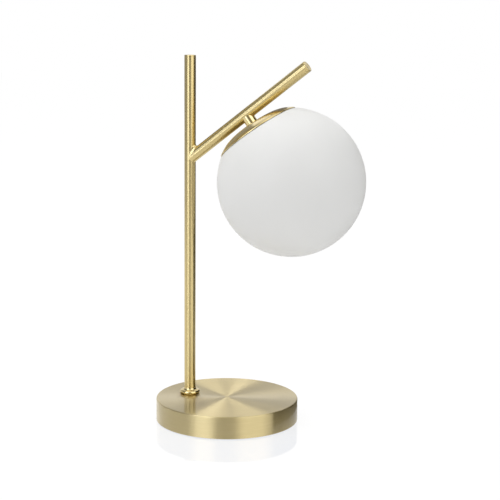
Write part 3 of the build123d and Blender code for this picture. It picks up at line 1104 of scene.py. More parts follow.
@dataclass
class Base(Assembly):
    """The weighted disc base: drum, pad and cord grommet."""

    radius: float = 0.075
    height: float = BASE_HEIGHT
    edge: float = 0.0012
    wall: float = 0.0012
    lift: float = 0.0008
    hem: float = 0.0003
    pad_inset: float = 0.0008
    pad_thickness: float = 0.0015
    stem_offset: float = STEM_OFFSET
    stem_hole: float = 0.00515
    cord_level: float = 0.009
    cord_bore: float = 0.0032
    cord_seat: float = 0.0043
    cord_flange: float = 0.0056
    flange_thickness: float = 0.002
    grommet_round: float = 0.0003
    drill_overrun: float = 0.01
    gap: float = GAP

    # Shares of a length at which a flat or straight stretch has a ring
    TOP_RINGS: ClassVar[tuple[float, ...]] = (0.0, 0.15, 0.4, 0.7, 0.92, 0.99)
    WALL_RINGS: ClassVar[tuple[float, ...]] = (0.96, 0.7, 0.3, 0.04)
    PAD_RINGS: ClassVar[tuple[float, ...]] = (0.0, 0.5, 0.97)

    @property
    def bore(self) -> float:
        """Inner radius of the drum."""
        return self.radius - self.wall

    @property
    def rearward(self) -> Matrix:
        """Frame of the cord's hole: Z runs out of the rear wall."""
        turn = Matrix.Rotation(math.radians(-90.0), 4, "X")
        return Matrix.Translation((0.0, 0.0, self.cord_level)) @ turn

    def build(self) -> None:
        """Builds the base's pieces."""
        self.build_cover()
        self.build_pad()
        self.build_grommet()

    def build_cover(self) -> bpy.types.Object:
        """Builds the pressed drum with its rolled edge, open below.

        Returns:
            The drum.
        """
        shoulder = self.radius - self.edge
        side_top = self.height - self.edge
        side_low = self.lift + self.hem
        outline: Outline = [(shoulder * share, self.height) for share in self.TOP_RINGS]
        outline += arc((shoulder, side_top), self.edge, 90.0, 0.0, steps=10)
        for share in self.WALL_RINGS:
            outline.append((self.radius, side_low + (side_top - side_low) * share))
        outline += arc((self.radius - self.hem, side_low), self.hem, 0.0, -90.0, steps=4)
        ceiling = self.height - self.wall
        outline += [(self.bore, self.lift), (self.bore, ceiling), (0.0, ceiling)]
        cover = lathe("spun_cover", outline, segments=256, closed=False)
        stem = Matrix.Translation((-self.stem_offset, 0.0, 0.0))
        drill(cover, stem, self.stem_hole, ceiling - self.wall, self.height + self.wall)
        cord_hole = self.cord_seat + self.gap
        past = self.drill_overrun
        drill(cover, self.rearward, cord_hole, self.bore - past, self.radius + past)
        return self.set_in(cover, Matrix.Identity(4), Slot.SPUN_BRASS, "base_cover")

    def build_pad(self) -> bpy.types.Object:
        """Builds the foam disc, its rim swollen under the lamp's weight.

        Returns:
            The pad.
        """
        half = self.pad_thickness / 2
        rim = self.bore - self.pad_inset - half
        outline: Outline = [(rim * share, 0.0) for share in self.PAD_RINGS]
        outline += arc((rim, half), half, -90.0, 90.0, steps=10)
        outline += [(rim * share, self.pad_thickness) for share in reversed(self.PAD_RINGS)]
        pad = lathe("foot_pad", outline, segments=160, closed=False)
        return self.set_in(pad, Matrix.Identity(4), Slot.FOAM_PAD, "base_pad")

    def build_grommet(self) -> bpy.types.Object:
        """Builds the rubber ring in the rear wall, rounded at its mouth.

        Returns:
            The ring.
        """
        inner = math.sqrt(self.bore**2 - self.cord_flange**2) - self.gap
        outer = self.radius + self.gap
        thick = self.flange_thickness
        round_in = self.grommet_round
        round_out = thick / 2
        low = inner - thick + round_in
        high = outer + thick
        outline = arc((self.cord_bore + round_in, low), round_in, 180.0, 270.0, steps=4)
        outline += arc((self.cord_flange - round_in, low), round_in, 270.0, 360.0, steps=4)
        outline += [(self.cord_flange, inner), (self.cord_seat, inner)]
        outline += [(self.cord_seat, outer), (self.cord_flange, outer)]
        outline += arc((self.cord_flange - round_out, high - round_out), round_out, 0.0, 90.0, steps=10)
        outline += arc((self.cord_bore + round_in, high - round_in), round_in, 90.0, 180.0, steps=4)
        ring = lathe("cord_ring", outline, segments=72)
        return self.set_in(ring, self.rearward, Slot.GROMMET_RUBBER, "cord_grommet")


@dataclass
class Upright(Assembly):
    """The upright tube with its end plug and the bead collar at its foot."""

    offset: float = STEM_OFFSET
    radius: float = 0.006
    wall: float = 0.001
    foot: float = BASE_HEIGHT
    top: float = 0.384
    flange: float = 0.001
    spigot: float = 0.006
    gap: float = GAP
    seam: float = 0.00015
    crown: float = 0.0005
    collar_radius: float = 0.0105
    bead_radius: float = 0.0022
    bead_height: float = 0.0019
    cove: float = 0.0025
    cove_steps: int = 8
    collar_lip: float = 0.0002
    wire_hole: float = 0.0035
    branch_height: float = 0.2765
    branch_rise: float = 38.0

    # Levels of the tube's rings, with a pair around each end of the wires' hole
    TUBE_RINGS: ClassVar[tuple[float, ...]] = (0.05, 0.12, 0.2, 0.2752, 0.2772, 0.2852, 0.2872, 0.34)
    # Shares of the plug's radius at which its flat face has a ring
    PLUG_RINGS: ClassVar[tuple[float, ...]] = (0.0, 0.5, 0.86)

    @property
    def place(self) -> Matrix:
        """Frame of the upright: Z up along its axis."""
        return Matrix.Translation((-self.offset, 0.0, 0.0))

    @property
    def branch_place(self) -> Matrix:
        """Frame of the branch: Z along its axis, from the upright's axis outwards."""
        turn = Matrix.Rotation(math.radians(90.0 - self.branch_rise), 4, "Y")
        return Matrix.Translation((-self.offset, 0.0, self.branch_height)) @ turn

    def build(self) -> None:
        """Builds the upright's pieces."""
        self.build_tube()
        end = self.place @ Matrix.Translation((0.0, 0.0, self.top))
        self.set_in(self.plug("upright_plug"), end, Slot.SATIN_BRASS, "stem_cap")
        self.build_collar()

    def build_tube(self) -> bpy.types.Object:
        """Builds the upright tube, with the wires' hole behind the branch.

        Returns:
            The tube.
        """
        end = self.top - self.flange
        bore = self.radius - self.wall
        outline: Outline = [(bore, end), (bore, self.foot), (self.radius, self.foot)]
        outline += [(self.radius, level) for level in self.TUBE_RINGS]
        outline += [(self.radius, end - 2 * self.seam), (self.radius, end - self.seam)]
        outline.append((self.radius - self.seam, end))
        tube = lathe("upright_tube", outline, segments=96)
        tube.matrix_world = self.place
        drill(tube, self.branch_place, self.wire_hole, 0.0, 2 * self.radius)
        return self.set_in(tube, self.place, Slot.SATIN_BRASS, "stem_tube")

    def plug(self, name: str) -> bpy.types.Object:
        """Builds a flat end plug, its outer face at level 0.

        Args:
            name: Name of the piece.

        Returns:
            The plug in its own frame.
        """
        inner = self.radius - self.wall - self.gap
        root = -self.flange - self.spigot
        outline: Outline = [(self.radius * share, 0.0) for share in self.PLUG_RINGS]
        outline += arc((self.radius - self.crown, -self.crown), self.crown, 90.0, 0.0, steps=8)
        outline += [(self.radius, self.seam - self.flange), (self.radius - self.seam, -self.flange)]
        outline += [(inner, -self.flange), (inner, root), (0.0, root)]
        return lathe(name, outline, segments=96, closed=False)

    def build_collar(self) -> bpy.types.Object:
        """Builds the polished bead ring, with a cove that rises to the upright.

        Returns:
            The collar.
        """
        bore = self.radius + self.gap
        centre = self.collar_radius - self.bead_radius
        start = math.degrees(math.asin(-self.bead_height / self.bead_radius))
        outline: Outline = [(bore, 0.0)]
        outline += arc((centre, self.bead_height), self.bead_radius, start, 90.0, steps=28)
        top = self.bead_height + self.bead_radius
        reach = centre - bore - self.collar_lip
        for index in range(1, self.cove_steps + 1):
            angle = math.radians(90.0 * index / self.cove_steps)
            outline.append((centre - reach * math.sin(angle), top + self.cove * (1.0 - math.cos(angle))))
        outline.append((bore, top + self.cove))
        collar = lathe("bead_collar", outline, segments=128)
        place = self.place @ Matrix.Translation((0.0, 0.0, self.foot))
        return self.set_in(collar, place, Slot.POLISHED_BRASS, "stem_collar")


@dataclass
class Branch(Assembly):
    """The slanted branch tube, coped and brazed to the upright, with its end plug."""

    upright: Upright
    length: float = 0.162
    neck_reach: float = 0.079
    braze_reach: float = 0.005
    braze_sweep: float = 84.0
    braze_root: float = 0.0006
    braze_chords: int = 12
    braze_slices: int = 32

    # Levels of the tube's rings away from the neck, and their distances from the neck's middle near it
    LOWER_RINGS: ClassVar[tuple[float, ...]] = (0.022, 0.05)
    NECK_RINGS: ClassVar[tuple[float, ...]] = (-0.0062, -0.0045, 0.0045, 0.0062)
    UPPER_RINGS: ClassVar[tuple[float, ...]] = (0.12,)

    def build(self) -> None:
        """Builds the branch's pieces."""
        self.build_tube()
        end = self.upright.branch_place @ Matrix.Translation((0.0, 0.0, self.length))
        self.set_in(self.upright.plug("branch_plug"), end, Slot.SATIN_BRASS, "arm_cap")
        self.build_braze()

    def braze_section(self, turn: float) -> Ring:
        """One section of the fillet, from the upright over the hollow corner to the branch.

        Args:
            turn: Angle along the seam, 0 at its top and a quarter turn at the front and the back.

        Returns:
            The section's points, with its root inside the metal as the last one.
        """
        radius = self.upright.radius
        sunk = radius - self.upright.gap
        half = math.radians(90.0 - self.upright.branch_rise) / 2
        branch = Vector((math.sin(2 * half), 0.0, math.cos(2 * half)))
        ridge = Vector((math.sin(half), 0.0, math.cos(half))) * (radius / math.sin(half))
        side = Vector((0.0, radius, 0.0))
        corner = ridge * math.cos(turn) + side * math.sin(turn)
        seam = (side * math.cos(turn) - ridge * math.sin(turn)).normalized()
        off_upright = off_axis(corner, UP)
        off_branch = off_axis(corner, branch)
        reach = self.braze_reach * math.sqrt(math.cos(turn))
        start = corner + off_upright.cross(seam) * reach
        end = corner + seam.cross(off_branch) * reach
        start = UP * start.dot(UP) + off_axis(start, UP) * sunk
        end = branch * end.dot(branch) + off_axis(end, branch) * sunk
        points: Ring = []
        for index in range(self.braze_chords + 1):
            share = index / self.braze_chords
            rest = 1.0 - share
            points.append(start * rest**2 + corner * (2.0 * share * rest) + end * share**2)
        points.append(corner - (off_upright + off_branch).normalized() * self.braze_root)
        return points

    def build_braze(self) -> bpy.types.Object:
        """Builds the fillet of brazing metal in the corner over the branch.

        Returns:
            The fillet.
        """
        rings: list[Ring] = []
        for index in range(-self.braze_slices, self.braze_slices + 1):
            turn = math.radians(self.braze_sweep * index / self.braze_slices)
            rings.append(self.braze_section(turn))
        ends = [[sum(ring, Vector()) / len(ring)] for ring in (rings[0], rings[-1])]
        fillet = skin("branch_braze", [ends[0], *rings, ends[1]], closed=False)
        place = self.upright.place @ Matrix.Translation((0.0, 0.0, self.upright.branch_height))
        return self.set_in(fillet, place, Slot.SATIN_BRASS, None)

    def coped(self, radius: float) -> Level:
        """The branch's lower end, where it meets the upright.

        Args:
            radius: Radius of the ring that is cut.

        Returns:
            The level of the cut as a function of the angle around the branch.
        """
        rise = math.radians(self.upright.branch_rise)
        seat = self.upright.radius + self.upright.gap

        def level(angle: float) -> float:
            """The level at one angle, where X in the branch's frame points down and outwards.

            Args:
                angle: The angle around the branch.

            Returns:
                The level along the branch.
            """
            across = radius * math.sin(angle)
            lean = -radius * math.cos(angle) * math.sin(rise)
            return (math.sqrt(seat**2 - across**2) + lean) / math.cos(rise)

        return level

    def build_tube(self) -> bpy.types.Object:
        """Builds the tube, coped at its lower end and trimmed at its upper end.

        Returns:
            The tube.
        """
        radius = self.upright.radius
        bore = radius - self.upright.wall
        seam = self.upright.seam
        end = self.length - self.upright.flange
        near_neck = [self.neck_reach + step for step in self.NECK_RINGS]
        levels = [*self.LOWER_RINGS, *near_neck, *self.UPPER_RINGS, end - 2 * seam, end - seam]
        courses: list[Course] = [(bore, self.coped(bore)), (radius, self.coped(radius))]
        courses += [(radius, level_at(level)) for level in levels]
        courses += [(radius - seam, level_at(end)), (bore, level_at(end))]
        tube = sleeve("branch_tube", courses, segments=96)
        return self.set_in(tube, self.upright.branch_place, Slot.SATIN_BRASS, "arm_tube")


@dataclass
class Head(Assembly):
    """The cap, the globe and the pieces between them, about the head's own axis."""

    upright: Upright
    branch: Branch
    tilt: float = 36.5
    globe_radius: float = 0.076
    glass: float = 0.003
    cap_radius: float = 0.0455
    cap_rise: float = 0.0109
    cap_edge: float = 0.0009
    cap_wall: float = 0.001
    crown_arc: float = 0.17
    shoulder_start: float = 0.026
    crown_radius: float = 0.007
    nipple_hole: float = 0.0042
    ledge: float = 0.0004
    rim_gap: float = 0.0005
    lip: float = 0.0008
    hem: float = 0.0003
    neck_gap: float = 0.0057
    neck_radius: float = 0.0065
    neck_saddle: float = 0.002
    neck_bore: float = 0.00405
    gasket_width: float = 0.0014
    gasket_inset: float = 0.0012
    mouth_outer: float = field(init=False)
    mouth: float = field(init=False)
    glass_bore: float = field(init=False)
    mouth_inner: float = field(init=False)
    rim: float = field(init=False)
    crown: float = field(init=False)
    arm_level: float = field(init=False)
    crown_centre: float = field(init=False)
    slope: float = field(init=False)
    shoulder_radius: float = field(init=False)
    shoulder: Point = field(init=False)

    # Shares of the neck's radius at which its saddle has a ring
    SADDLE_RINGS: ClassVar[tuple[float, ...]] = (1.0, 0.94, 0.84, 0.72)
    # Shares of the lip, inwards and down, of the points that round the mouth's outer edge
    LIP_ROUND: ClassVar[tuple[Point, ...]] = ((0.12, 0.25), (0.45, 0.04), (1.1, 0.0))

    def __post_init__(self) -> None:
        """Works out the levels along the head's axis, from the globe's centre."""
        lean = math.radians(self.tilt - self.upright.branch_rise)
        self.mouth_outer = self.cap_radius + self.ledge
        self.mouth = math.sqrt(self.globe_radius**2 - self.mouth_outer**2)
        self.glass_bore = self.globe_radius - self.glass
        self.mouth_inner = math.sqrt(self.glass_bore**2 - self.mouth**2)
        self.rim = self.mouth + self.rim_gap
        self.crown = self.rim + self.cap_rise
        self.arm_level = self.crown + self.neck_gap + self.upright.radius / math.cos(lean)
        self.crown_centre = self.crown - math.sqrt(self.crown_arc**2 - self.crown_radius**2)
        self.slope = math.asin(self.shoulder_start / self.crown_arc)
        rise = self.rim + self.cap_edge - self.crown_centre
        reach = self.cap_radius * math.sin(self.slope) + rise * math.cos(self.slope)
        spread = self.cap_radius**2 + rise**2 + self.crown_arc**2 - 2 * self.crown_arc * reach
        self.shoulder_radius = spread / (2 * (self.crown_arc - reach))
        step = self.crown_arc - self.shoulder_radius
        self.shoulder = (step * math.sin(self.slope), self.crown_centre + step * math.cos(self.slope))

    @property
    def place(self) -> Matrix:
        """Frame of the head.

        Returns:
            A frame at the globe's centre, with Z up the head's axis.
        """
        rise = math.radians(self.upright.branch_rise)
        tilt = math.radians(self.tilt)
        along = Vector((math.cos(rise), 0.0, math.sin(rise)))
        axis = Vector((-math.sin(tilt), 0.0, math.cos(tilt)))
        root = Vector((-self.upright.offset, 0.0, self.upright.branch_height))
        centre = root + along * self.branch.neck_reach - axis * self.arm_level
        return Matrix.Translation(centre) @ Matrix.Rotation(-tilt, 4, "Y")

    def build(self) -> None:
        """Builds the head's pieces."""
        self.build_neck()
        self.build_cap()
        self.build_gasket()
        self.build_globe()

    def coped(self, radius: float) -> Level:
        """The neck's upper end, where it meets the branch.

        Args:
            radius: Radius of the ring that is cut.

        Returns:
            The level of the cut as a function of the angle around the neck.
        """
        lean = math.radians(self.upright.branch_rise - self.tilt)
        seat = self.upright.radius + self.upright.gap
        top = self.arm_level - self.neck_saddle

        def level(angle: float) -> float:
            """The level at one angle, no higher than the saddle's flat tips.

            Args:
                angle: The angle around the neck.

            Returns:
                The level along the head's axis.
            """
            drop = math.sqrt(max(0.0, seat**2 - (radius * math.sin(angle)) ** 2))
            cut = self.arm_level + (radius * math.cos(angle) * math.sin(lean) - drop) / math.cos(lean)
            return min(cut, top)

        return level

    def build_neck(self) -> bpy.types.Object:
        """Builds the polished bush between the cap and the branch.

        Returns:
            The bush.
        """
        courses: list[Course] = [
            (self.neck_bore, level_at(self.crown)),
            (self.neck_radius - self.hem, level_at(self.crown)),
            (self.neck_radius, level_at(self.crown + self.hem)),
            (self.neck_radius, level_at(self.crown + 2 * self.hem)),
        ]
        for share in self.SADDLE_RINGS:
            courses.append((self.neck_radius * share, self.coped(self.neck_radius * share)))
        courses.append((self.neck_bore, self.coped(self.neck_bore)))
        bush = sleeve("neck_bush", courses, segments=96)
        return self.set_in(bush, self.place, Slot.POLISHED_BRASS, "neck")

    def dome(self, inset: float, first: float, last: float, steps: int) -> Outline:
        """Points down the cap's profile, over the crown's arc and the tighter arc of its shoulder.

        Args:
            inset: Depth below the outer face.
            first: Reach of the first point from the axis.
            last: Reach of the last point.
            steps: Number of chords of each arc.

        Returns:
            The points, from the crown to the rim.
        """
        crown = self.crown_arc - inset
        shoulder = self.shoulder_radius - inset
        turn = 90.0 - math.degrees(self.slope)
        start = math.degrees(math.acos(first / crown))
        end = math.degrees(math.acos((last - self.shoulder[0]) / shoulder))
        points = arc((0.0, self.crown_centre), crown, start, turn, steps)
        return points + arc(self.shoulder, shoulder, turn, end, steps)[1:]

    def build_cap(self) -> bpy.types.Object:
        """Builds the spun dome with its trimmed edge.

        Returns:
            The dome.
        """
        ceiling = self.crown - self.cap_wall
        under = self.crown_arc - self.cap_wall
        flat_below = math.sqrt(under**2 - (ceiling - self.crown_centre) ** 2)
        rim_bore = self.cap_radius - self.cap_wall
        dome_end = self.cap_radius - self.hem * 0.5
        edge_top = self.rim + self.cap_edge - self.hem * 0.6
        outer_round = self.hem * 0.7
        inner_round = self.hem * 0.4
        outline: Outline = [(self.nipple_hole, self.crown), (self.crown_radius * 0.9, self.crown)]
        outline += self.dome(0.0, self.crown_radius, dome_end, steps=36)
        outline += [(self.cap_radius, edge_top), (self.cap_radius, self.rim + outer_round)]
        outline += [(self.cap_radius - outer_round, self.rim), (rim_bore + inner_round, self.rim)]
        outline.append((rim_bore, self.rim + inner_round))
        outline += reversed(self.dome(self.cap_wall, flat_below, rim_bore, steps=28))
        outline.append((self.nipple_hole, ceiling))
        cap = lathe("globe_cap_dome", outline, segments=192)
        return self.set_in(cap, self.place, Slot.POLISHED_BRASS, "globe_cap")

    def build_gasket(self) -> bpy.types.Object:
        """Builds the soft ring between the globe's mouth and the cap.

        Returns:
            The ring.
        """
        under = self.shoulder_radius - self.cap_wall - self.upright.gap
        outer = self.cap_radius - self.cap_wall - self.gasket_inset
        inner = outer - self.gasket_width
        soft = self.gasket_width * 0.18

        def roof(radius: float) -> float:
            """Level of the cap's underside, on the arc of its shoulder."""
            return self.shoulder[1] + math.sqrt(under**2 - (radius - self.shoulder[0]) ** 2)

        outline = arc((inner + soft, self.mouth + soft), soft, 180.0, 270.0, steps=4)
        outline += arc((outer - soft, self.mouth + soft), soft, 270.0, 360.0, steps=4)
        outline += [(outer, roof(outer) - soft), (outer - soft, roof(outer - soft))]
        outline += [(inner + soft, roof(inner + soft)), (inner, roof(inner) - soft)]
        gasket = lathe("mouth_gasket", outline, segments=160)
        return self.set_in(gasket, self.place, Slot.GASKET_SILICONE, "globe_gasket")

    def build_globe(self) -> bpy.types.Object:
        """Builds the opal ball with its ground mouth.

        Returns:
            The ball.
        """
        mouth_angle = math.degrees(math.asin(self.mouth / self.globe_radius))
        inner_angle = math.degrees(math.asin(self.mouth / self.glass_bore))
        lip_angle = math.degrees(self.lip / self.globe_radius)
        outline = arc((0.0, 0.0), self.globe_radius, -90.0, mouth_angle - lip_angle, steps=110)
        outline[0] = (0.0, -self.globe_radius)
        for inward, down in self.LIP_ROUND:
            outline.append((self.mouth_outer - self.lip * inward, self.mouth - self.lip * down))
        outline.append((self.mouth_inner + self.lip * 0.2, self.mouth))
        outline += arc((0.0, 0.0), self.glass_bore, inner_angle, -90.0, steps=90)
        outline[-1] = (0.0, -self.glass_bore)
        globe = lathe("opal_globe", outline, segments=160, closed=False)
        # The tilt goes into the mesh, so that the ball's box isn't a tilted one.
        globe.data.transform(self.place)
        return self.set_in(globe, Matrix(), Slot.OPAL_GLASS, "globe", Body.GLOBE)


# Studio


@dataclass(frozen=True)
class Panel:
    """A card or softbox that only reflections see, curved around the lamp.

    Attributes:
        name: Name of the object.
        foot: Azimuths of its lower corners in degrees, counted to the right from the camera.
        head: Azimuths of its upper corners.
        level: Strength of its light, where 1 is white.
        tint: Colour of its light.
        low: Height of its lower edge.
        high: Height of its upper edge.
        reach: Its distance from the hub.
        hub: Plan of the point that it curves around.
    """

    name: str
    foot: Point
    head: Point
    level: float
    tint: Colour = WHITE
    low: float = 0.0
    high: float = 3.2
    reach: float = 2.2
    hub: Point = (0.0, 0.0)

    ROWS: ClassVar[int] = 8
    COLUMN_TURN: ClassVar[float] = 3.0

    def build(self, front: float) -> None:
        """Builds the panel.

        Args:
            front: Azimuth of the camera in degrees, from which the panel's sides are counted.
        """
        columns = max(2, int(abs(self.foot[1] - self.foot[0]) / self.COLUMN_TURN))
        mesh = bpy.data.meshes.new(self.name)
        shape = bmesh.new()
        grid = []
        for row in range(self.ROWS + 1):
            share = row / self.ROWS
            left, right = (start + (end - start) * share for start, end in zip(self.foot, self.head))
            line = []
            for column in range(columns + 1):
                turn = math.radians(front + left + (right - left) * column / columns)
                x = self.hub[0] + self.reach * math.sin(turn)
                y = self.hub[1] - self.reach * math.cos(turn)
                line.append(shape.verts.new((x, y, self.low + (self.high - self.low) * share)))
            grid.append(line)
        for lower, upper in zip(grid, grid[1:]):
            for column in range(columns):
                shape.faces.new((lower[column], lower[column + 1], upper[column + 1], upper[column]))
        shape.to_mesh(mesh)
        shape.free()
        show_to_reflections(self.name, mesh, self.tint, self.level)


def show_to_reflections(name: str, mesh: bpy.types.Mesh, tint: Colour, level: float) -> None:
    """Sets up a stage card that gives light to the lamp's reflections alone.

    A ray that the floor mirrors passes the film over the floor twice, which its transparent depth
    counts. Where it has bounced on the floor alone, it sees white in place of the card.

    Args:
        name: Name of the card.
        mesh: Its mesh.
        tint: Its colour.
        level: Its strength, where 1 is white.
    """
    card = bpy.data.objects.new(name, mesh)
    bpy.context.scene.collection.objects.link(card)
    material, sheet = new_material(name)
    path = sheet.add("LightPath")
    through_film = sheet.math("GREATER_THAN", path.outputs["Transparent Depth"], ONE_OR_TWO)
    one_bounce = sheet.math("LESS_THAN", path.outputs["Ray Depth"], ONE_OR_TWO)
    floor_alone = sheet.math("MULTIPLY", through_film, one_bounce)
    glow = sheet.add("Emission", {"Color": rgba(tint), "Strength": level})
    white = sheet.add("Emission", {"Color": rgba(WHITE), "Strength": 1.0})
    close_material(sheet, sheet.add("MixShader", {0: floor_alone, 1: glow.outputs[0], 2: white.outputs[0]}))
    material.cycles.emission_sampling = "NONE"
    mesh.materials.append(material)
    card.visible_camera = False
    card.visible_diffuse = False
    card.visible_transmission = False
    card.visible_volume_scatter = False
    card.visible_shadow = False


@dataclass
class Studio:
    """Floor, background, lights and camera."""

    azimuth: float = 21.44
    distance: float = 1.526
    height: float = 0.4671
    pitch: float = 10.55
    yaw: float = -0.87
    roll: float = 0.47
    lens: float = 106.99
    sensor: float = 36.0
    sight: float = 100.0
    floor_size: float = 9.0
    floor_level: float = -0.0002
    film_level: float = -0.0001
    floor_matt: float = 0.92
    floor_shadow: float = 0.12
    floor_light: float = 0.75
    floor_mirror: Colour = (0.156, 0.141, 0.115)
    mirror_reach: float = 0.148
    mirror_fade: float = 0.006
    mirror_roughness: float = 0.03
    fill: float = 0.74
    overhead_power: float = 12.0
    overhead_size: float = 1.6
    overhead_place: tuple[float, float, float] = (-0.45, -0.35, 1.9)
    ceiling_level: float = 1.7
    ceiling_size: tuple[float, float] = (2.2, 2.0)
    ceiling_place: tuple[float, float, float] = (-0.2, -0.1, 2.4)

    PANELS: ClassVar[tuple[Panel, ...]] = (
        Panel("left_strip", (-140.0, -62.0), (-140.0, -62.0), 1.7, COOL, high=0.07, reach=0.7),
        Panel("left_card", (-140.0, -58.0), (-140.0, -54.0), 0.45, COOL, low=0.07, high=0.5, reach=0.7),
        Panel(
            "left_high_card", (-150.0, -60.0), (-150.0, -58.0), 0.24, PALE_GREEN,
            low=0.5, high=1.1, reach=0.7,
        ),
        Panel("left_low_softbox", (-62.0, -25.0), (-58.0, -25.0), 3.4, SKY, high=0.3),
        Panel("left_softbox", (-50.0, -24.0), (-50.0, -22.0), 1.5, SKY, low=0.3, high=1.0),
        Panel("left_high_softbox", (-64.0, -23.0), (-56.0, -18.0), 3.6, SKY, low=1.0, high=2.8),
        Panel("front_card", (-24.0, 20.0), (-22.0, 18.0), 0.1, CREAM, high=1.0),
        Panel("front_high_card", (-22.0, 13.0), (-17.0, 16.0), 0.4, CREAM, low=1.0, high=2.2),
        Panel("right_softbox", (24.0, 66.0), (23.0, 78.0), 1.7, DAYLIGHT, high=1.0),
        Panel("right_high_softbox", (14.0, 66.0), (19.0, 80.0), 2.5, DAYLIGHT, low=1.0, high=2.8),
        # Painted shade: these two low dark cards beside the base on the right stand in for the floor's
        # shadow there, as the brass reflects it.
        Panel("right_foot_painted_shade", (50.0, 115.0), (50.0, 115.0), 0.2, GOLD, high=0.026, reach=0.1),
        Panel("right_near_painted_shade", (68.0, 125.0), (70.0, 125.0), 0.05, GOLD, high=0.16, reach=0.25),
        Panel("right_card", (70.0, 162.0), (86.0, 150.0), 0.1, GOLD, high=0.5, reach=0.7),
        Panel("right_high_card", (78.0, 132.0), (84.0, 120.0), 0.05, GOLD, low=0.9, high=3.2),
        Panel(
            "rear_softbox", (-173.0, -171.0), (-173.0, -142.0), 1.4, WHITE,
            low=0.345, high=0.4815, reach=0.2, hub=CAP_HUB,
        ),
        Panel(
            "rear_left_card", (-174.0, -136.0), (-174.0, -136.0), 0.4, PALE_CREAM,
            low=0.308, high=0.4875, reach=0.21, hub=CAP_HUB,
        ),
        Panel(
            "rear_right_card", (170.0, 187.0), (170.0, 187.0), 0.25, SAND,
            low=0.3276, high=0.472, reach=0.205, hub=CAP_HUB,
        ),
    )

    def build(self) -> None:
        """Builds the studio."""
        bpy.context.scene.view_settings.view_transform = "Standard"
        self.build_camera()
        self.build_world()
        self.build_floor()
        self.build_film()
        self.build_lights()

    def build_camera(self) -> None:
        """Builds the camera at the photograph's viewing angle."""
        data = bpy.data.cameras.new("camera")
        data.sensor_width = self.sensor
        data.lens = self.lens
        data.clip_end = self.sight
        camera = bpy.data.objects.new("camera", data)
        bpy.context.scene.collection.objects.link(camera)
        stand = math.radians(self.azimuth)
        look = math.radians(self.azimuth + self.yaw)
        down = math.radians(self.pitch)
        roll = math.radians(self.roll)
        place = Vector((self.distance * math.sin(stand), -self.distance * math.cos(stand), self.height))
        level = Vector((-math.sin(look), math.cos(look), 0.0))
        right = Vector((level.y, -level.x, 0.0))
        ahead = level * math.cos(down) - Vector((0.0, 0.0, math.sin(down)))
        above = right.cross(ahead)
        across = right * math.cos(roll) + above * math.sin(roll)
        upright = above * math.cos(roll) - right * math.sin(roll)
        turn = Matrix((across, upright, -ahead)).transposed().to_4x4()
        camera.matrix_world = Matrix.Translation(place) @ turn
        bpy.context.scene.camera = camera

    @staticmethod
    def seen_directly(sheet: Sheet) -> bpy.types.NodeSocket:
        """A mask for the rays that show the background: from the camera, mirrors and glass.

        Args:
            sheet: The tree that uses it.

        Returns:
            The mask socket.
        """
        path = sheet.add("LightPath")
        mirrored = sheet.math("MAXIMUM", path.outputs["Is Camera Ray"], path.outputs["Is Glossy Ray"])
        return sheet.math("MAXIMUM", mirrored, path.outputs["Is Transmission Ray"])

    def build_world(self) -> None:
        """Builds a white background and an even fill light."""
        world = bpy.data.worlds.new("studio")
        world.use_nodes = True
        bpy.context.scene.world = world
        sheet = Sheet(world.node_tree)
        light = sheet.add("Background", {"Color": rgba(WHITE), "Strength": self.fill})
        white = sheet.add("Background", {"Color": rgba(WHITE), "Strength": 1.0})
        direct = self.seen_directly(sheet)
        mix = sheet.add("MixShader", {0: direct, 1: light.outputs[0], 2: white.outputs[0]})
        leave = sheet.add("OutputWorld")
        sheet.tree.links.new(mix.outputs[0], leave.inputs["Surface"])

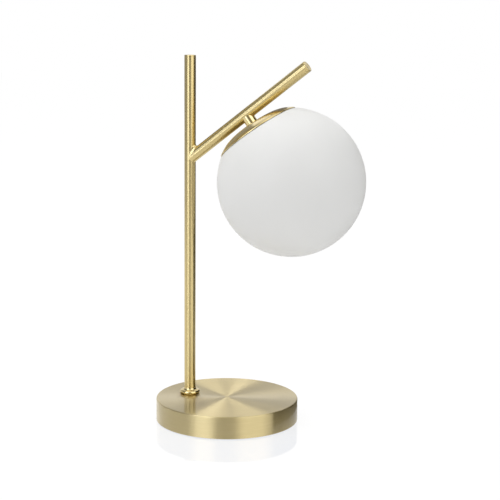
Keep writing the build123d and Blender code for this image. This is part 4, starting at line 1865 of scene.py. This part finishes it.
    def build_floor(self) -> None:
        """Builds a glossy white floor that keeps the lamp's shadow and is clear from below."""
        floor = flat_square("floor", self.floor_size / 2, self.floor_level)
        material, sheet = new_material("floor")
        surface = sheet.add("NewGeometry")
        reach = sheet.add("VectorMath", {0: surface.outputs["Position"]}, operation="LENGTH")
        ends = (self.mirror_reach - self.mirror_fade, self.mirror_reach)
        near = sheet.spread(reach.outputs["Value"], ends, (1.0, 0.0))
        plain_white = (1.0 - self.floor_shadow * self.floor_light,) * 3
        near_white = tuple(part - share for part, share in zip(plain_white, self.floor_mirror))
        matt = sheet.add("BsdfDiffuse", {"Color": rgba((self.floor_matt,) * 3)})
        shade = sheet.add("BsdfDiffuse", {"Color": rgba((self.floor_shadow,) * 3)})
        white = sheet.add("Emission", {"Color": sheet.tint(near, rgba(plain_white), rgba(near_white))})
        mirror = sheet.tint(near, rgba(BLACK), rgba(self.floor_mirror))
        gloss = sheet.add("BsdfGlossy", {"Color": mirror, "Roughness": self.mirror_roughness})
        lit = sheet.add("AddShader", {0: white.outputs[0], 1: shade.outputs[0]})
        shown = sheet.add("AddShader", {0: lit.outputs[0], 1: gloss.outputs[0]})
        direct = self.seen_directly(sheet)
        above = sheet.add("MixShader", {0: direct, 1: matt.outputs[0], 2: shown.outputs[0]})
        below = sheet.add("BsdfTransparent")
        sides = {0: surface.outputs["Backfacing"], 1: above.outputs[0], 2: below.outputs[0]}
        close_material(sheet, sheet.add("MixShader", sides))
        floor.data.materials.append(material)

    def build_film(self) -> None:
        """Builds the clear film that marks the rays of the floor's mirror."""
        film = flat_square("floor_film", self.mirror_reach, self.film_level)
        material, sheet = new_material("floor_film")
        close_material(sheet, sheet.add("BsdfTransparent"))
        film.data.materials.append(material)

    def build_lights(self) -> None:
        """Builds the soft light from above, and the cards that the brass reflects."""
        data = bpy.data.lights.new("overhead", "AREA")
        data.energy = self.overhead_power
        data.size = self.overhead_size
        lamp = bpy.data.objects.new("overhead", data)
        lamp.location = self.overhead_place
        lamp.visible_glossy = False
        lamp.visible_camera = False
        bpy.context.scene.collection.objects.link(lamp)
        for panel in self.PANELS:
            panel.build(self.azimuth)
        half_x, half_y = (0.5 * side for side in self.ceiling_size)
        x, y, z = self.ceiling_place
        mesh = bpy.data.meshes.new("ceiling_softbox")
        corners = [(x - half_x, y - half_y, z), (x - half_x, y + half_y, z)]
        corners += [(x + half_x, y + half_y, z), (x + half_x, y - half_y, z)]
        mesh.from_pydata(corners, [], [(0, 1, 2, 3)])
        show_to_reflections("ceiling_softbox", mesh, WHITE, self.ceiling_level)


def main() -> None:
    """Builds the lamp's sub-assemblies in order, and the studio around them."""
    logging.basicConfig(level=logging.INFO, format="%(name)s: %(message)s")
    Assembly.palette = Palette()
    Assembly.palette.dress_nodes()
    upright = Upright()
    branch = Branch(upright)
    for assembly in (Base(), upright, branch, Head(upright, branch)):
        assembly.build()
    Studio().build()


if __name__ == "__main__":
    main()
